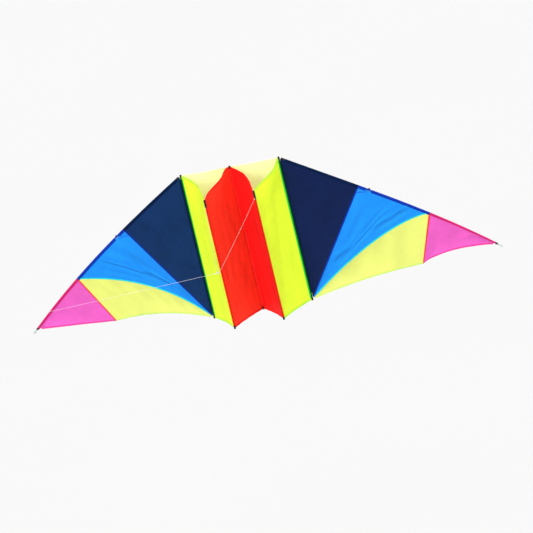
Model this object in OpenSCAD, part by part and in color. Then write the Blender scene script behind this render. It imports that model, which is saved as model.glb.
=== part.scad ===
// Twin-cell delta kite with bent leading edges, a two-leg bridle and a flying line.
// The origin is the tow ring. +Z points to the nose, -Y is the belly side, +X is the kite's right
// as it is seen from the belly side. Most shapes are drawn from the nose of the spine and moved once.

/* [Cells] */
// Distance between neighbouring spars of the flat upper sail
cell_w = 212; // [195:1:230]
// Depth of each triangular cell, from the upper sail to its keel
keel_depth = 188; // [175:1:200]
// Length of the longerons and the spine
spar_len = 645; // [630:1:660]
// How far below the nose each keel starts
keel_start = 68; // [60:1:80]
// Rise of the curved mouth edge of each cell panel
mouth_rise = 12; // [0:1:20]
// Inward bow of each cell panel
cell_bow = 6; // [0:1:12]

/* [Wings] */
// Place along the leading edge of the navy and blue seam, as a share
seam_a = 0.34; // [0.32:0.005:0.36]
// Place along the leading edge of the blue and pink seam, as a share
seam_b = 0.662; // [0.64:0.002:0.68]
// Rise of the curved seam between the blue and yellow panels
seam_rise = 46; // [20:1:60]
// Scallop of the yellow trailing edge
yellow_scallop = 16; // [0:1:30]
// Scallop of the pink trailing edge
pink_scallop = 11; // [0:1:20]
// Backward billow in the middle of each wing panel
wing_billow = 8; // [0:1:15]

/* [Spars and sleeves] */
// Radius of the straight spars
rod_r = 2; // [1.5:0.25:2.25]
// Radius of the leading-edge spars and the spreader
edge_rod_r = 2.5; // [2:0.25:2.5]
// Outer radius of a sleeve
sleeve_r = 4; // [3.75:0.25:4.25]
// Wall of a sleeve
sleeve_wall = 0.6; // [0.5:0.1:0.7]
// Length of an end cap
cap_len = 14; // [12:1:18]
// Length of the tow tab's webbing along the keel
tab_h = 5; // [4:0.5:5]
// Length of the ferrule in the middle of the spreader
ferrule_len = 90; // [70:5:120]

/* [Line set] */
// Height of the tow tabs below the nose
tab_drop = 94; // [90:1:110]
// Distance of the tow ring in front of the upper sail
tow_reach = 900; // [850:5:950]
// Height of the tow ring below the nose
tow_drop = 160; // [150:5:180]
// Diameter of the bridle cord
bridle_d = 1; // [0.8:0.1:1.5]
// Diameter of the flying line
line_d = 0.8; // [0.6:0.1:1.2]

/* [Hidden] */
cloth = 0.5;            // thickness of a sail panel
gap = 0.4;              // room between neighbouring pieces of cloth
round_fn = 32;          // facets of the round fittings
rod_fit = 0.02;         // room between a spar and the hole that holds it
nose = [0, tow_reach, tow_drop];
tow = -nose;
right_tail = [cell_w, 0, -spar_len];
keel_xy = [cell_w / 2, -keel_depth];
edge_route = [[cell_w, 0, 0], [517, -11, -187], [776, 131, -398], [1013, 221, -637]];
edge_start = 0.012;     // share of the edge route where the spar's inner end lies
edge_cap_share = [0.01, 0.0235];  // shares between which the cap of that end lies
edge_cloth_start = 0.024;         // share where the navy sleeve starts
edge_cloth_end = 0.982; // share where the magenta sleeve ends
sleeve_gap = 0.001;     // share of the edge left open between two sleeves
tail_room = 16;         // from the tail corner to the end of the blue and yellow panels
navy_tail_room = 18;
tip_room = 26;          // from the end of the magenta sleeve to the end of the pink panel
nock_len = 14;
nock_slot = [2.4, 12, 6];
hook_at = seam_a + 0.047;
slit_half = 0.013;      // half the length of the opening in the sleeve, as a share of the edge
slit_front = 1.6;       // how far the opening reaches in front of the spar's axis
hook_back = 9;          // from the edge spar's axis back to the spreader's axis
hook_r = 4;
jaw_r = 3.9;
jaw_len = 14;
jaw_front = 1;          // from the spar's axis forward to the jaw's cut front
post_w = 6;             // width of the block between jaw and socket
socket_len = 24;
socket_end = 5;         // how far the socket's closed end reaches past the jaw
socket_floor = 5;       // from the jaw's middle to the bottom of the socket's hole
rod_back = 6;           // from the jaw's middle to the end of the spreader rod
rod_half_gap = 1;       // from the kite's middle to the spreader rod's inner end
patch_u = [0.012, 0.046];         // top and bottom of the spreader patch, as shares of the panel
patch_v = [0.025, 0.13, 0.05];    // its seam side, its free corner at the top and at the bottom
patch_lift = [0, 1.4, 0];
tip_u = [0.93, 0.995];            // inner and outer end of the tip facing, as shares of the panel
tip_v = [0.05, 0.9];
tip_lift = [0, 1.2, 0];
cap_over = 3.5;         // how far a cap stands past the sail's corner
cap_floor = 2;
cap_gap = 0.5;          // from a sleeve's end to the cap
rod_over = 1;           // how far a straight spar stands past the sail's corner
cap_r = sleeve_r + 0.4;
cell_room = cap_r + gap; // from a spar's axis to the cloth beside it
edge_room = sleeve_r + 1.2;
trailing_corner = [667, 253, -662];
tab_eye = 9.4;          // from the keel's axis to the inside of the tab's far end
tab_wall = 1.2;
tab_half = 3.2;
loop_r = 6;             // loop of cord around the tab's far wall
tab_pivot = [keel_xy[0], keel_xy[1] - sleeve_r - tab_eye - tab_wall / 2, -tab_drop];
ring_r = 5;
ring_wire = 1;
small_loop_r = 2.7;
small_loop_wire = 0.5;
small_loop_at = ring_r + 0.9;
knot_at = small_loop_at + small_loop_r;
knot_len = 5;
knot_r = 1.2;
leg_spread = 32;        // angle on the tow ring between each leg's loop and the middle
// Route of the flying line from the tow ring, in millimetres from the origin
line_route = [
    [-13.415, -2.236, 0], [-30, -5, 0], [-90, -14, 0.5], [-180, -27, 0.8], [-270, -40, 1],
    [-360, -53, 1], [-450, -66, 1.2], [-540, -79, 1.5], [-630, -92, 2], [-720, -105, 3],
    [-800, -117, 4], [-870, -127, 5], [-930, -136, 6], [-970, -142, 7], [-1000, -146, 8]
];
end_loop_r = 9;

function mix(a, b, t) = a + (b - a) * t;
function unit(v) = v / norm(v);
function clamp(i, n) = max(0, min(n, i));
function bulge(t) = 4 * t * (1 - t);

// A point of the bent leading edge, at a share of its route
function edge(t) =
    let (s = 1 - t, r = edge_route)
    s * s * s * r[0] + 3 * s * s * t * r[1] + 3 * s * t * t * r[2] + t * t * t * r[3];
function edge_points(a, b, n) = [for (i = [0:n]) edge(mix(a, b, i / n))];

// The direction along a list of points, at its point i
function along(p, i) = unit(p[clamp(i + 1, len(p) - 1)] - p[clamp(i - 1, len(p) - 1)]);

// The unit normal of a grid of points, at row i and column j
function normal(g, i, j) =
    let (
        n = len(g) - 1,
        m = len(g[0]) - 1,
        down = g[clamp(i + 1, n)][j] - g[clamp(i - 1, n)][j],
        over = g[i][clamp(j + 1, m)] - g[i][clamp(j - 1, m)]
    )
    unit(cross(down, over));

// Two curved seams and the trailing edge of a wing: each is a function of a share u
function curved_seam(u) = mix(edge(seam_b), right_tail, u) + [-0.5, 0, 0.87] * seam_rise * bulge(u);
function yellow_edge(u) = mix(trailing_corner, right_tail, u) + [0, 0, yellow_scallop * bulge(u)];
function pink_edge(u) = mix(trailing_corner, edge(edge_cloth_end), u) + [0, 0, pink_scallop * bulge(u)];

// Share of a span of the given width, with room a at its start and b at its end
function inset(width, a, b, t) = (a + (width - a - b) * t) / width;
function flat_norm(v) = norm([v[0], v[1]]);

function back(u, v) = [0, wing_billow * bulge(u) * bulge(v), 0];

function navy_point(u, v) =
    let (
        rim = edge(seam_a * v),
        uu = inset(norm(right_tail - rim), edge_room, navy_tail_room, u),
        row = mix(edge(seam_a) - [cell_w, 0, 0], [0, 0, 0], uu),
        vv = inset(flat_norm(row), cell_room, gap, v)
    )
    mix(edge(seam_a * vv), right_tail, uu) + back(uu, vv);

function blue_point(u, v) =
    let (
        uu = inset(norm(right_tail - edge(seam_b)), edge_room, tail_room, u),
        width = norm(curved_seam(uu) - mix(edge(seam_a), right_tail, uu)),
        vv = inset(width, gap, gap, v),
        flat = mix(edge(mix(seam_a, seam_b, vv)), right_tail, uu)
    )
    flat + vv * (curved_seam(uu) - mix(edge(seam_b), right_tail, uu)) + back(uu, vv);

function yellow_point(u, v) =
    let (
        reach = norm(right_tail - edge(seam_b)),
        uu = inset(reach, gap, tail_room, u),
        vv = inset(norm(yellow_edge(uu) - curved_seam(uu)), max(gap, edge_room - uu * reach), 0, v)
    )
    mix(curved_seam(uu), yellow_edge(uu), vv) + back(uu, vv);

function pink_point(u, v) =
    let (
        uu = inset(norm(edge(edge_cloth_end) - edge(seam_b)), gap, tip_room, u),
        rim = edge(mix(seam_b, edge_cloth_end, uu)),
        vv = inset(norm(pink_edge(uu) - rim), edge_room, 0, v)
    )
    mix(rim, pink_edge(uu), vv) + back(uu, vv);

// A flat-sided cell panel between two spars of the same body
function cell_point(p, q, top_p, top_q, rise, bow, u, v) =
    let (
        t = inset(norm(q - p), cell_room, cell_room, v),
        top = mix(top_p, top_q, t) + rise * bulge(t),
        side = unit([p[1] - q[1], q[0] - p[0]]),
        xy = mix(p, q, t) + side * bow * bulge(t)
    )
    [xy[0], xy[1], mix(top, -spar_len, u)];

function upper_point(u, v) = cell_point([0, 0], [cell_w, 0], 0, 0, 0, 0, u, v);
function lime_point(u, v) =
    cell_point(keel_xy, [cell_w, 0], -keel_start, 0, mouth_rise, cell_bow, u, v);
function red_point(u, v) =
    cell_point([0, 0], keel_xy, 0, -keel_start, mouth_rise, cell_bow, u, v);

// Thin closed sheet on a grid of points
module sheet(grid) {
    n = len(grid) - 1;
    m = len(grid[0]) - 1;
    w = m + 1;
    face = (n + 1) * w;
    front = [for (i = [0:n], j = [0:m]) grid[i][j] + normal(grid, i, j) * cloth / 2];
    rear = [for (i = [0:n], j = [0:m]) grid[i][j] - normal(grid, i, j) * cloth / 2];
    cells = [for (i = [0:n - 1], j = [0:m - 1])
        let (a = i * w + j) [a, a + 1, a + w + 1, a + w]];
    rim = concat(
        [for (j = [0:m - 1]) j],
        [for (i = [0:n - 1]) i * w + m],
        [for (j = [m:-1:1]) n * w + j],
        [for (i = [n:-1:1]) i * w]
    );
    sides = [for (k = [0:len(rim) - 1]) [rim[k], rim[(k + 1) % len(rim)]]];
    polyhedron(
        points = concat(front, rear),
        faces = concat(
            [for (c = cells) each [[c[0], c[1], c[2]], [c[0], c[2], c[3]]]],
            [for (c = cells) let (d = [for (k = c) face + k])
                each [[d[2], d[1], d[0]], [d[3], d[2], d[0]]]],
            [for (s = sides) each [[s[1], s[0], face + s[0]], [s[1], face + s[0], face + s[1]]]]
        )
    );
}

// Points of a ring of n sides around a point of a route
function ring_points(p, i, r, n) =
    let (d = along(p, i), x = unit(cross([0, 1, 0], d)), y = cross(d, x))
    [for (k = [0:n - 1]) p[i] + r * (x * cos(k * 360 / n) + y * sin(k * 360 / n))];

function wall_faces(rings, n, from, flip) =
    [for (i = [0:rings - 2], k = [0:n - 1])
        let (a = from + i * n + k, b = from + i * n + (k + 1) % n, c = b + n, d = a + n)
        each (flip ? [[a, b, c], [a, c, d]] : [[c, b, a], [d, c, a]])];

// Solid rod along a route
module rod_on(p, r, n) {
    last = len(p) - 1;
    polyhedron(
        points = [for (i = [0:last]) each ring_points(p, i, r, n)],
        faces = concat(
            wall_faces(last + 1, n, 0, false),
            [[for (k = [0:n - 1]) k]],
            [[for (k = [n - 1:-1:0]) last * n + k]]
        )
    );
}

// Hollow sleeve along a route
module sleeve_on(p, r, wall, n) {
    last = len(p) - 1;
    inner = (last + 1) * n;
    ends = [for (k = [0:n - 1]) let (a = k, b = (k + 1) % n) each [
        [a, b, inner + b], [a, inner + b, inner + a],
        [last * n + b, last * n + a, inner + last * n + b],
        [last * n + a, inner + last * n + a, inner + last * n + b]
    ]];
    polyhedron(
        points = concat(
            [for (i = [0:last]) each ring_points(p, i, r, n)],
            [for (i = [0:last]) each ring_points(p, i, r - wall, n)]
        ),
        faces = concat(
            wall_faces(last + 1, n, 0, false),
            wall_faces(last + 1, n, inner, true),
            ends
        )
    );
}

// Round bar between two points
module bar(a, b, r) {
    v = b - a;
    translate(a) rotate([0, acos(v[2] / norm(v)), atan2(v[1], v[0])])
        cylinder(h = norm(v), r = r, $fn = round_fn);
}

// Torus at a point, its axis along v
module torus(at, v, r, wire) {
    translate(at) rotate([0, acos(v[2] / norm(v)), atan2(v[1], v[0])])
        rotate_extrude($fn = round_fn) translate([r, 0]) circle(r = wire, $fn = 16);
}

// Moves a shape that is drawn from the nose into the part's frame, on the side that s names
module on_kite(s = 1) {
    translate(nose) mirror([s < 0 ? 1 : 0, 0, 0]) children();
}

module upright(x, y, top, bottom, r) {
    translate([x, y, bottom]) cylinder(h = top - bottom, r = r, $fn = round_fn);
}

module upright_sleeve(x, y, top) {
    inside = cap_len - cap_over + cap_gap;
    difference() {
        upright(x, y, top - inside, -spar_len + inside, sleeve_r);
        upright(x, y, top, -spar_len, sleeve_r - sleeve_wall);
    }
}

module keel_sleeve() {
    upright_sleeve(keel_xy[0], keel_xy[1], -keel_start);
}

// Vinyl cap on the end of a spar, its mouth towards the spar's middle
module end_cap(x, y, z, up) {
    translate([x, y, z]) mirror([0, 0, up ? 0 : 1]) difference() {
        translate([0, 0, cap_over - cap_len]) cylinder(h = cap_len, r = cap_r, $fn = round_fn);
        translate([0, 0, cap_over - cap_floor - 2 * cap_len])
            cylinder(h = 2 * cap_len, r = rod_r + rod_fit, $fn = round_fn);
    }
}

module edge_rod() {
    rod_on(edge_points(edge_start, 1, 30), edge_rod_r, 12);
}

module edge_sleeve(a, b, n) {
    sleeve_on(edge_points(a, b, n), sleeve_r, sleeve_wall, 12);
}

module navy_sleeve() {
    edge_sleeve(edge_cloth_start, seam_a - sleeve_gap, 10);
}

module pink_sleeve() {
    edge_sleeve(seam_b, edge_cloth_end - 2 * sleeve_gap, 10);
}

// Moves a shape to the edge spar at the hook: z along the spar, y to the back of the kite
module at_hook() {
    at = edge(hook_at);
    d = unit(edge(hook_at + slit_half) - edge(hook_at - slit_half));
    y = unit([0, 1, 0] - d * d[1]);
    x = cross(y, d);
    multmatrix([
        [x[0], y[0], d[0], at[0]],
        [x[1], y[1], d[1], at[1]],
        [x[2], y[2], d[2], at[2]],
        [0, 0, 0, 1]
    ]) children();
}

// Opening in the back of the sleeve, through which the hook reaches the spar
module slit() {
    half = norm(edge(hook_at + slit_half) - edge(hook_at - slit_half)) / 2;
    at_hook() translate([-2 * sleeve_r, -slit_front, -half]) cube([4 * sleeve_r, 3 * sleeve_r, 2 * half]);
}

module navy_panel() {
    sheet([for (i = [0:8]) [for (j = [0:8]) navy_point(i / 8, j / 8)]]);
}

module blue_panel() {
    sheet([for (i = [0:10]) [for (j = [0:6]) blue_point(i / 10, j / 6)]]);
}

module yellow_panel() {
    sheet([for (i = [0:10]) [for (j = [0:6]) yellow_point(i / 10, j / 6)]]);
}

module pink_panel() {
    sheet([for (i = [0:8]) [for (j = [0:5]) pink_point(i / 8, j / 5)]]);
}

// Straight spar between the nose side and the tail, with its upper end at the height top
module straight_rod(x, y, top) {
    upright(x, y, top + rod_over, -spar_len - rod_over, rod_r);
}

// Reinforcing triangle behind the blue panel, between its inner seam and the opening in the sleeve
module spreader_patch() {
    sheet([for (i = [0:2]) [for (j = [0:3])
        let (free = mix(patch_v[1], patch_v[2], i / 2))
        blue_point(mix(patch_u[0], patch_u[1], i / 2), mix(patch_v[0], free, j / 3)) + patch_lift]]);
}

// Dark facing on the corner of the pink panel at the wing tip
module tip_patch() {
    sheet([for (i = [0:2]) [for (j = [0:2])
        pink_point(mix(tip_u[0], tip_u[1], i / 2), mix(tip_v[0], tip_v[1], j / 2)) + tip_lift]]);
}

// Moves a shape to the spreader's axis behind the hook, z along the spreader to the kite's side
module on_spreader() {
    at = edge(hook_at);
    translate([at[0], at[1] + hook_back, at[2]]) rotate([0, 90, 0]) children();
}

// Hook with a jaw around the edge spar, open to the belly, and a socket for the spreader
module spreader_hook() {
    clear = edge_rod_r + 0.3;
    difference() {
        union() {
            at_hook() translate([0, 0, -jaw_len / 2]) cylinder(h = jaw_len, r = jaw_r, $fn = round_fn);
            at_hook() translate([-post_w / 2, 0, -post_w / 2]) cube([post_w, hook_back, post_w]);
            on_spreader() translate([0, 0, -socket_len])
                cylinder(h = socket_len + socket_end, r = hook_r, $fn = round_fn);
        }
        on_spreader() translate([0, 0, -2 * socket_len])
            cylinder(h = 2 * socket_len - socket_floor, r = edge_rod_r + rod_fit, $fn = round_fn);
        at_hook() translate([0, 0, -jaw_len]) cylinder(h = 2 * jaw_len, r = clear, $fn = round_fn);
        at_hook() translate([-clear, -3 * jaw_r, -jaw_len]) cube([2 * clear, 3 * jaw_r, 2 * jaw_len]);
        at_hook() translate([-2 * jaw_r, -jaw_front - 3 * jaw_r, -jaw_len])
            cube([4 * jaw_r, 3 * jaw_r, 2 * jaw_len]);
    }
}

module spreader_rod() {
    long = edge(hook_at)[0] - rod_back - rod_half_gap;
    on_spreader() translate([0, 0, -rod_back - long])
        cylinder(h = long, r = edge_rod_r, $fn = round_fn);
}

module spreader_ferrule() {
    middle = edge(hook_at)[0];
    color("silver") on_kite() on_spreader() translate([0, 0, -middle - ferrule_len / 2]) difference() {
        cylinder(h = ferrule_len, r = edge_rod_r + 1, $fn = round_fn);
        translate([0, 0, -1]) cylinder(h = ferrule_len + 2, r = edge_rod_r + 0.03, $fn = round_fn);
    }
}

// Webbing loop that stands in front of the keel's sleeve
module tow_tab() {
    near = sleeve_r + 0.1;
    far = sleeve_r + tab_eye;
    translate([keel_xy[0], keel_xy[1], -tab_drop - tab_h / 2]) linear_extrude(height = tab_h) difference() {
        translate([-tab_half, -far - tab_wall]) square([2 * tab_half, far + tab_wall - near]);
        translate([-tab_half + tab_wall, -far]) square([2 * (tab_half - tab_wall), far - near - tab_wall]);
    }
}

// Cord from the tab's eye to the tow ring, with a loop and a wound knot at each end
module bridle_leg() {
    cord = bridle_d / 2;
    to_tow = unit(tow - tab_pivot);
    flat = unit([0, to_tow[1], to_tow[2]]);
    on_ring = [sin(leg_spread), cos(leg_spread), 0];
    start = tab_pivot + flat * loop_r;
    end = tow + on_ring * knot_at;
    d = unit(end - start);
    torus(tab_pivot, [1, 0, 0], loop_r, cord);
    bar(start, end, cord);
    bar(start, start + d * knot_len, knot_r);
    bar(end - d * knot_len, end, knot_r);
    torus(tow + on_ring * small_loop_at, cross(on_ring, [0, 0, 1]), small_loop_r, small_loop_wire);
}

// Loop and wound knot that tie the flying line to the tow ring
module line_knot() {
    d = unit(line_route[0]);
    color("gainsboro") union() {
        torus(d * small_loop_at, cross(d, [0, 0, 1]), small_loop_r, small_loop_wire);
        bar(d * knot_at, line_route[0], knot_r);
    }
}

// Knot and hand loop at the far end of the flying line
module line_end_loop() {
    last = line_route[len(line_route) - 1];
    d = unit(last - line_route[len(line_route) - 2]);
    color("gainsboro") union() {
        bar(last, last + d * knot_len, knot_r);
        torus(last + d * (knot_len + end_loop_r), [0, 0, 1], end_loop_r, line_d / 2);
    }
}

module upper_sail_left() { color("lightyellow") on_kite(-1) grid_of("upper"); }
module upper_sail_right() { color("lightyellow") on_kite() grid_of("upper"); }
module lime_panel_left() { color("greenyellow") on_kite(-1) grid_of("lime"); }
module lime_panel_right() { color("greenyellow") on_kite() grid_of("lime"); }
module red_panel_left() { color("red") on_kite(-1) grid_of("red"); }
module red_panel_right() { color("red") on_kite() grid_of("red"); }

// Cell panel by its name
module grid_of(name) {
    sheet([for (i = [0:8]) [for (j = [0:6])
        name == "upper" ? upper_point(i / 8, j / 6)
        : name == "lime" ? lime_point(i / 8, j / 6)
        : red_point(i / 8, j / 6)]]);
}

module navy_panel_left() { color("midnightblue") on_kite(-1) navy_panel(); }
module navy_panel_right() { color("midnightblue") on_kite() navy_panel(); }
module blue_panel_left() { color("dodgerblue") on_kite(-1) blue_panel(); }
module blue_panel_right() { color("dodgerblue") on_kite() blue_panel(); }
module yellow_panel_left() { color("khaki") on_kite(-1) yellow_panel(); }
module yellow_panel_right() { color("khaki") on_kite() yellow_panel(); }
module pink_panel_left() { color("hotpink") on_kite(-1) pink_panel(); }
module pink_panel_right() { color("hotpink") on_kite() pink_panel(); }

module longeron_rod_left() { color("dimgray") on_kite(-1) straight_rod(cell_w, 0, 0); }
module longeron_rod_right() { color("dimgray") on_kite() straight_rod(cell_w, 0, 0); }
module spine_rod() { color("dimgray") on_kite() straight_rod(0, 0, 0); }
module keel_rod_left() { color("dimgray") on_kite(-1) straight_rod(keel_xy[0], keel_xy[1], -keel_start); }
module keel_rod_right() { color("dimgray") on_kite() straight_rod(keel_xy[0], keel_xy[1], -keel_start); }
module longeron_sleeve_left() { color("darkgreen") on_kite(-1) upright_sleeve(cell_w, 0, 0); }
module longeron_sleeve_right() { color("darkgreen") on_kite() upright_sleeve(cell_w, 0, 0); }
module spine_sleeve() { color("darkred") on_kite() upright_sleeve(0, 0, 0); }
module keel_sleeve_left() { color("darkred") on_kite(-1) keel_sleeve(); }
module keel_sleeve_right() { color("darkred") on_kite() keel_sleeve(); }

module nose_caps() {
    color("black") on_kite() {
        for (x = [-cell_w, 0, cell_w]) end_cap(x, 0, 0, true);
        for (s = [-1, 1]) end_cap(s * keel_xy[0], keel_xy[1], -keel_start, true);
    }
}

module tail_caps() {
    color("black") on_kite() {
        for (x = [-cell_w, 0, cell_w]) end_cap(x, 0, -spar_len, false);
        for (s = [-1, 1]) end_cap(s * keel_xy[0], keel_xy[1], -spar_len, false);
    }
}

module edge_rod_left() { color("lightgray") on_kite(-1) edge_rod(); }
module edge_rod_right() { color("lightgray") on_kite() edge_rod(); }
module navy_sleeve_left() { color("midnightblue") on_kite(-1) navy_sleeve(); }
module navy_sleeve_right() { color("midnightblue") on_kite() navy_sleeve(); }

module blue_sleeve(s) {
    color("mediumblue") on_kite(s) difference() {
        edge_sleeve(seam_a, seam_b - sleeve_gap, 10);
        slit();
    }
}

module blue_sleeve_left() { blue_sleeve(-1); }
module blue_sleeve_right() { blue_sleeve(1); }
module pink_sleeve_left() { color("mediumvioletred") on_kite(-1) pink_sleeve(); }
module pink_sleeve_right() { color("mediumvioletred") on_kite() pink_sleeve(); }

// Cap on the inner end of an edge spar
module edge_root_cap() {
    a = edge(edge_cap_share[0]);
    b = edge(edge_cap_share[1]);
    difference() {
        bar(a, b, sleeve_r);
        bar(edge(edge_start), b + (b - a), edge_rod_r + 0.05);
    }
}

// Slotted nock on the bare outer end of an edge spar
module tip_nock() {
    a = edge(1);
    d = unit(a - edge(0.99));
    difference() {
        bar(a - d * nock_len / 2, a + d * nock_len / 2, edge_rod_r + 1);
        bar(a - d * nock_len, a + d * 0.05, edge_rod_r + 0.05);
        translate(a + d * (nock_len / 2)) cube(nock_slot, center = true);
    }
}

module edge_root_cap_left() { color("black") on_kite(-1) edge_root_cap(); }
module edge_root_cap_right() { color("black") on_kite() edge_root_cap(); }
module tip_nock_left() { color("lightgray") on_kite(-1) tip_nock(); }
module tip_nock_right() { color("lightgray") on_kite() tip_nock(); }
module tip_patch_left() { color("dimgray") on_kite(-1) tip_patch(); }
module tip_patch_right() { color("dimgray") on_kite() tip_patch(); }
module spreader_patch_left() { color("royalblue") on_kite(-1) spreader_patch(); }
module spreader_patch_right() { color("royalblue") on_kite() spreader_patch(); }
module spreader_rod_left() { color("lightgray") on_kite(-1) spreader_rod(); }
module spreader_rod_right() { color("lightgray") on_kite() spreader_rod(); }
module spreader_hook_left() { color("black") on_kite(-1) spreader_hook(); }
module spreader_hook_right() { color("black") on_kite() spreader_hook(); }
module tow_tab_left() { color("black") on_kite(-1) tow_tab(); }
module tow_tab_right() { color("black") on_kite() tow_tab(); }
module bridle_leg_left() { color("gainsboro") on_kite(-1) bridle_leg(); }
module bridle_leg_right() { color("gainsboro") on_kite() bridle_leg(); }
module tow_ring() { color("silver") torus([0, 0, 0], [0, 0, 1], ring_r, ring_wire); }
module flying_line() { color("gainsboro") rod_on(line_route, line_d / 2, 8); }

upper_sail_left();
upper_sail_right();
lime_panel_left();
lime_panel_right();
red_panel_left();
red_panel_right();
navy_panel_left();
navy_panel_right();
blue_panel_left();
blue_panel_right();
yellow_panel_left();
yellow_panel_right();
pink_panel_left();
pink_panel_right();
longeron_rod_left();
longeron_rod_right();
spine_rod();
keel_rod_left();
keel_rod_right();
longeron_sleeve_left();
longeron_sleeve_right();
spine_sleeve();
keel_sleeve_left();
keel_sleeve_right();
nose_caps();
tail_caps();
edge_rod_left();
edge_rod_right();
navy_sleeve_left();
navy_sleeve_right();
blue_sleeve_left();
blue_sleeve_right();
pink_sleeve_left();
pink_sleeve_right();
edge_root_cap_left();
edge_root_cap_right();
tip_nock_left();
tip_nock_right();
tip_patch_left();
tip_patch_right();
spreader_patch_left();
spreader_patch_right();
spreader_rod_left();
spreader_rod_right();
spreader_ferrule();
spreader_hook_left();
spreader_hook_right();
tow_tab_left();
tow_tab_right();
bridle_leg_left();
bridle_leg_right();
tow_ring();
flying_line();
line_knot();
line_end_loop();
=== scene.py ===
"""Looks of the twin-cell delta kite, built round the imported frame: sails, sleeves, hems, fittings and line.

Shapes are worked out from the nose of the spine, in metres, for the kite's right half: x to the side, y to
the back, z up. place() mirrors them for the left half and moves them into the row frame. The surface of a
sail panel is a function of two shares, u and v, each from 0 to 1.
"""

import math

import bpy
import numpy as np
from mathutils import Matrix, Vector
from mathutils.kdtree import KDTree


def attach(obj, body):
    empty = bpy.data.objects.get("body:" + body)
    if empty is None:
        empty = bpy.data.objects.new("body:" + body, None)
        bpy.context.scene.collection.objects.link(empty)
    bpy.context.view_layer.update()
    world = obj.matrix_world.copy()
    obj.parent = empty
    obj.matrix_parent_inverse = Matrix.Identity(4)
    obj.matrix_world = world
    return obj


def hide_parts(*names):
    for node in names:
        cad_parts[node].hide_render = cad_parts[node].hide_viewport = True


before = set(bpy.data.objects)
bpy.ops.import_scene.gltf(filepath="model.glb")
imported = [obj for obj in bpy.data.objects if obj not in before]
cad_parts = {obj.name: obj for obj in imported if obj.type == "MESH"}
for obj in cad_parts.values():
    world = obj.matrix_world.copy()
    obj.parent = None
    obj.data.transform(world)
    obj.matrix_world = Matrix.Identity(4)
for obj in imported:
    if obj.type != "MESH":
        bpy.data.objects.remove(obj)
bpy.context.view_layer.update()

# ---------------------------------------------------------------- sizes, as in the CAD source
NOSE = np.array([0.0, 0.9, 0.16])
CELL_W = 0.212
KEEL = np.array([0.106, -0.188])
SPAR_LEN = 0.645
KEEL_START = 0.068
EDGE_ROUTE = np.array([
    [0.212, 0, 0], [0.517, -0.011, -0.187], [0.776, 0.131, -0.398], [1.013, 0.221, -0.637],
])
SEAM_A, SEAM_B, CLOTH_START, CLOTH_END = 0.34, 0.662, 0.024, 0.982      # as shares of the leading edge
TAIL = np.array([0.212, 0.0, -0.645])
CORNER = np.array([0.667, 0.253, -0.662])
SLEEVE_R = 0.004
TAB_PIVOT = np.array([0.106, -0.202, -0.094])
SLIT = (0.374, 0.400)    # the sleeve's opening for the hook, as shares of the edge
SLIT_FRONT = 0.0018      # how far the opening reaches in front of the spar's axis
SLIT_ROOM = 0.0020       # how far the cloth is cut back beside the opening
CAP_REACH = 0.0125       # from the sail's corner to the end of a longeron's cap
CAP_ROOM = 0.0010        # how far the wing's cloth keeps further off beside the caps
LINE_D = 0.0008
BRIDLE_D = 0.001
LINE_ROUTE = np.array([
    (-13.415, -2.236, 0), (-30, -5, 0), (-90, -14, 0.5), (-180, -27, 0.8), (-270, -40, 1),
    (-360, -53, 1), (-450, -66, 1.2), (-540, -79, 1.5), (-630, -92, 2), (-720, -105, 3),
    (-800, -117, 4), (-870, -127, 5), (-930, -136, 6), (-970, -142, 7), (-1000, -146, 8),
]) / 1000
CLOTH = 0.0004           # thickness of a panel
SIDES = {"left": -1, "right": 1}

# the shape the wind gives each half: the curved seam's rise and lean, and scallops of the trailing edges
SEAM_RISE = {"left": 0.057, "right": 0.045}
SEAM_LEAN = {"left": 1.0, "right": 0.76}
YELLOW_SCALLOP = {"left": 0.027, "right": 0.013}
PINK_SCALLOP = {"left": 0.001, "right": 0.024}
# each mouth's rise and its power, how far the wind carries it to the kite's right, that power, and its lean
MOUTH = {
    ("red", "left"): (0.016, 4, 0.016, 3, 1.0),
    ("red", "right"): (0.012, 2, 0.020, 1.2, 1.0),
    ("lime", "left"): (0.012, 2, 0.020, 1.2, 1.0),
    ("lime", "right"): (0.004, 2, 0.020, 2.0, 1.2),
    ("upper", "left"): (-0.003, 2, 0.0, 1, 1.0),
    ("upper", "right"): (-0.003, 2, 0.0, 1, 1.0),
}
MOUTH_REACH = 0.16       # how far down the panel the wind's push reaches
CELL_BOW = 0.007
WING_BILLOW = 0.012

# ---------------------------------------------------------------- small helpers
def link(name, data):
    """A new object with this data, in the scene."""
    o = bpy.data.objects.new(name, data)
    bpy.context.scene.collection.objects.link(o)
    return o


def declare(o, body, nodes=()):
    """Puts a piece on the body that it rides on and hides the CAD nodes that it stands for."""
    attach(o, body)
    if nodes:
        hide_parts(*nodes)
    return o



# ---------------------------------------------------------------- camera
AZIMUTH, ELEVATION, ROLL = (math.radians(x) for x in (9.51, 17.86, 13.49))
VIEW_WIDTH = 2.2409
VIEW_DISTANCE = 100.0
VIEW_CENTRE = np.array([0.0, 0.9, -0.14])
VIEW_SHIFT = (0.0892, -0.1424)
SENSOR = 36.0


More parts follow.
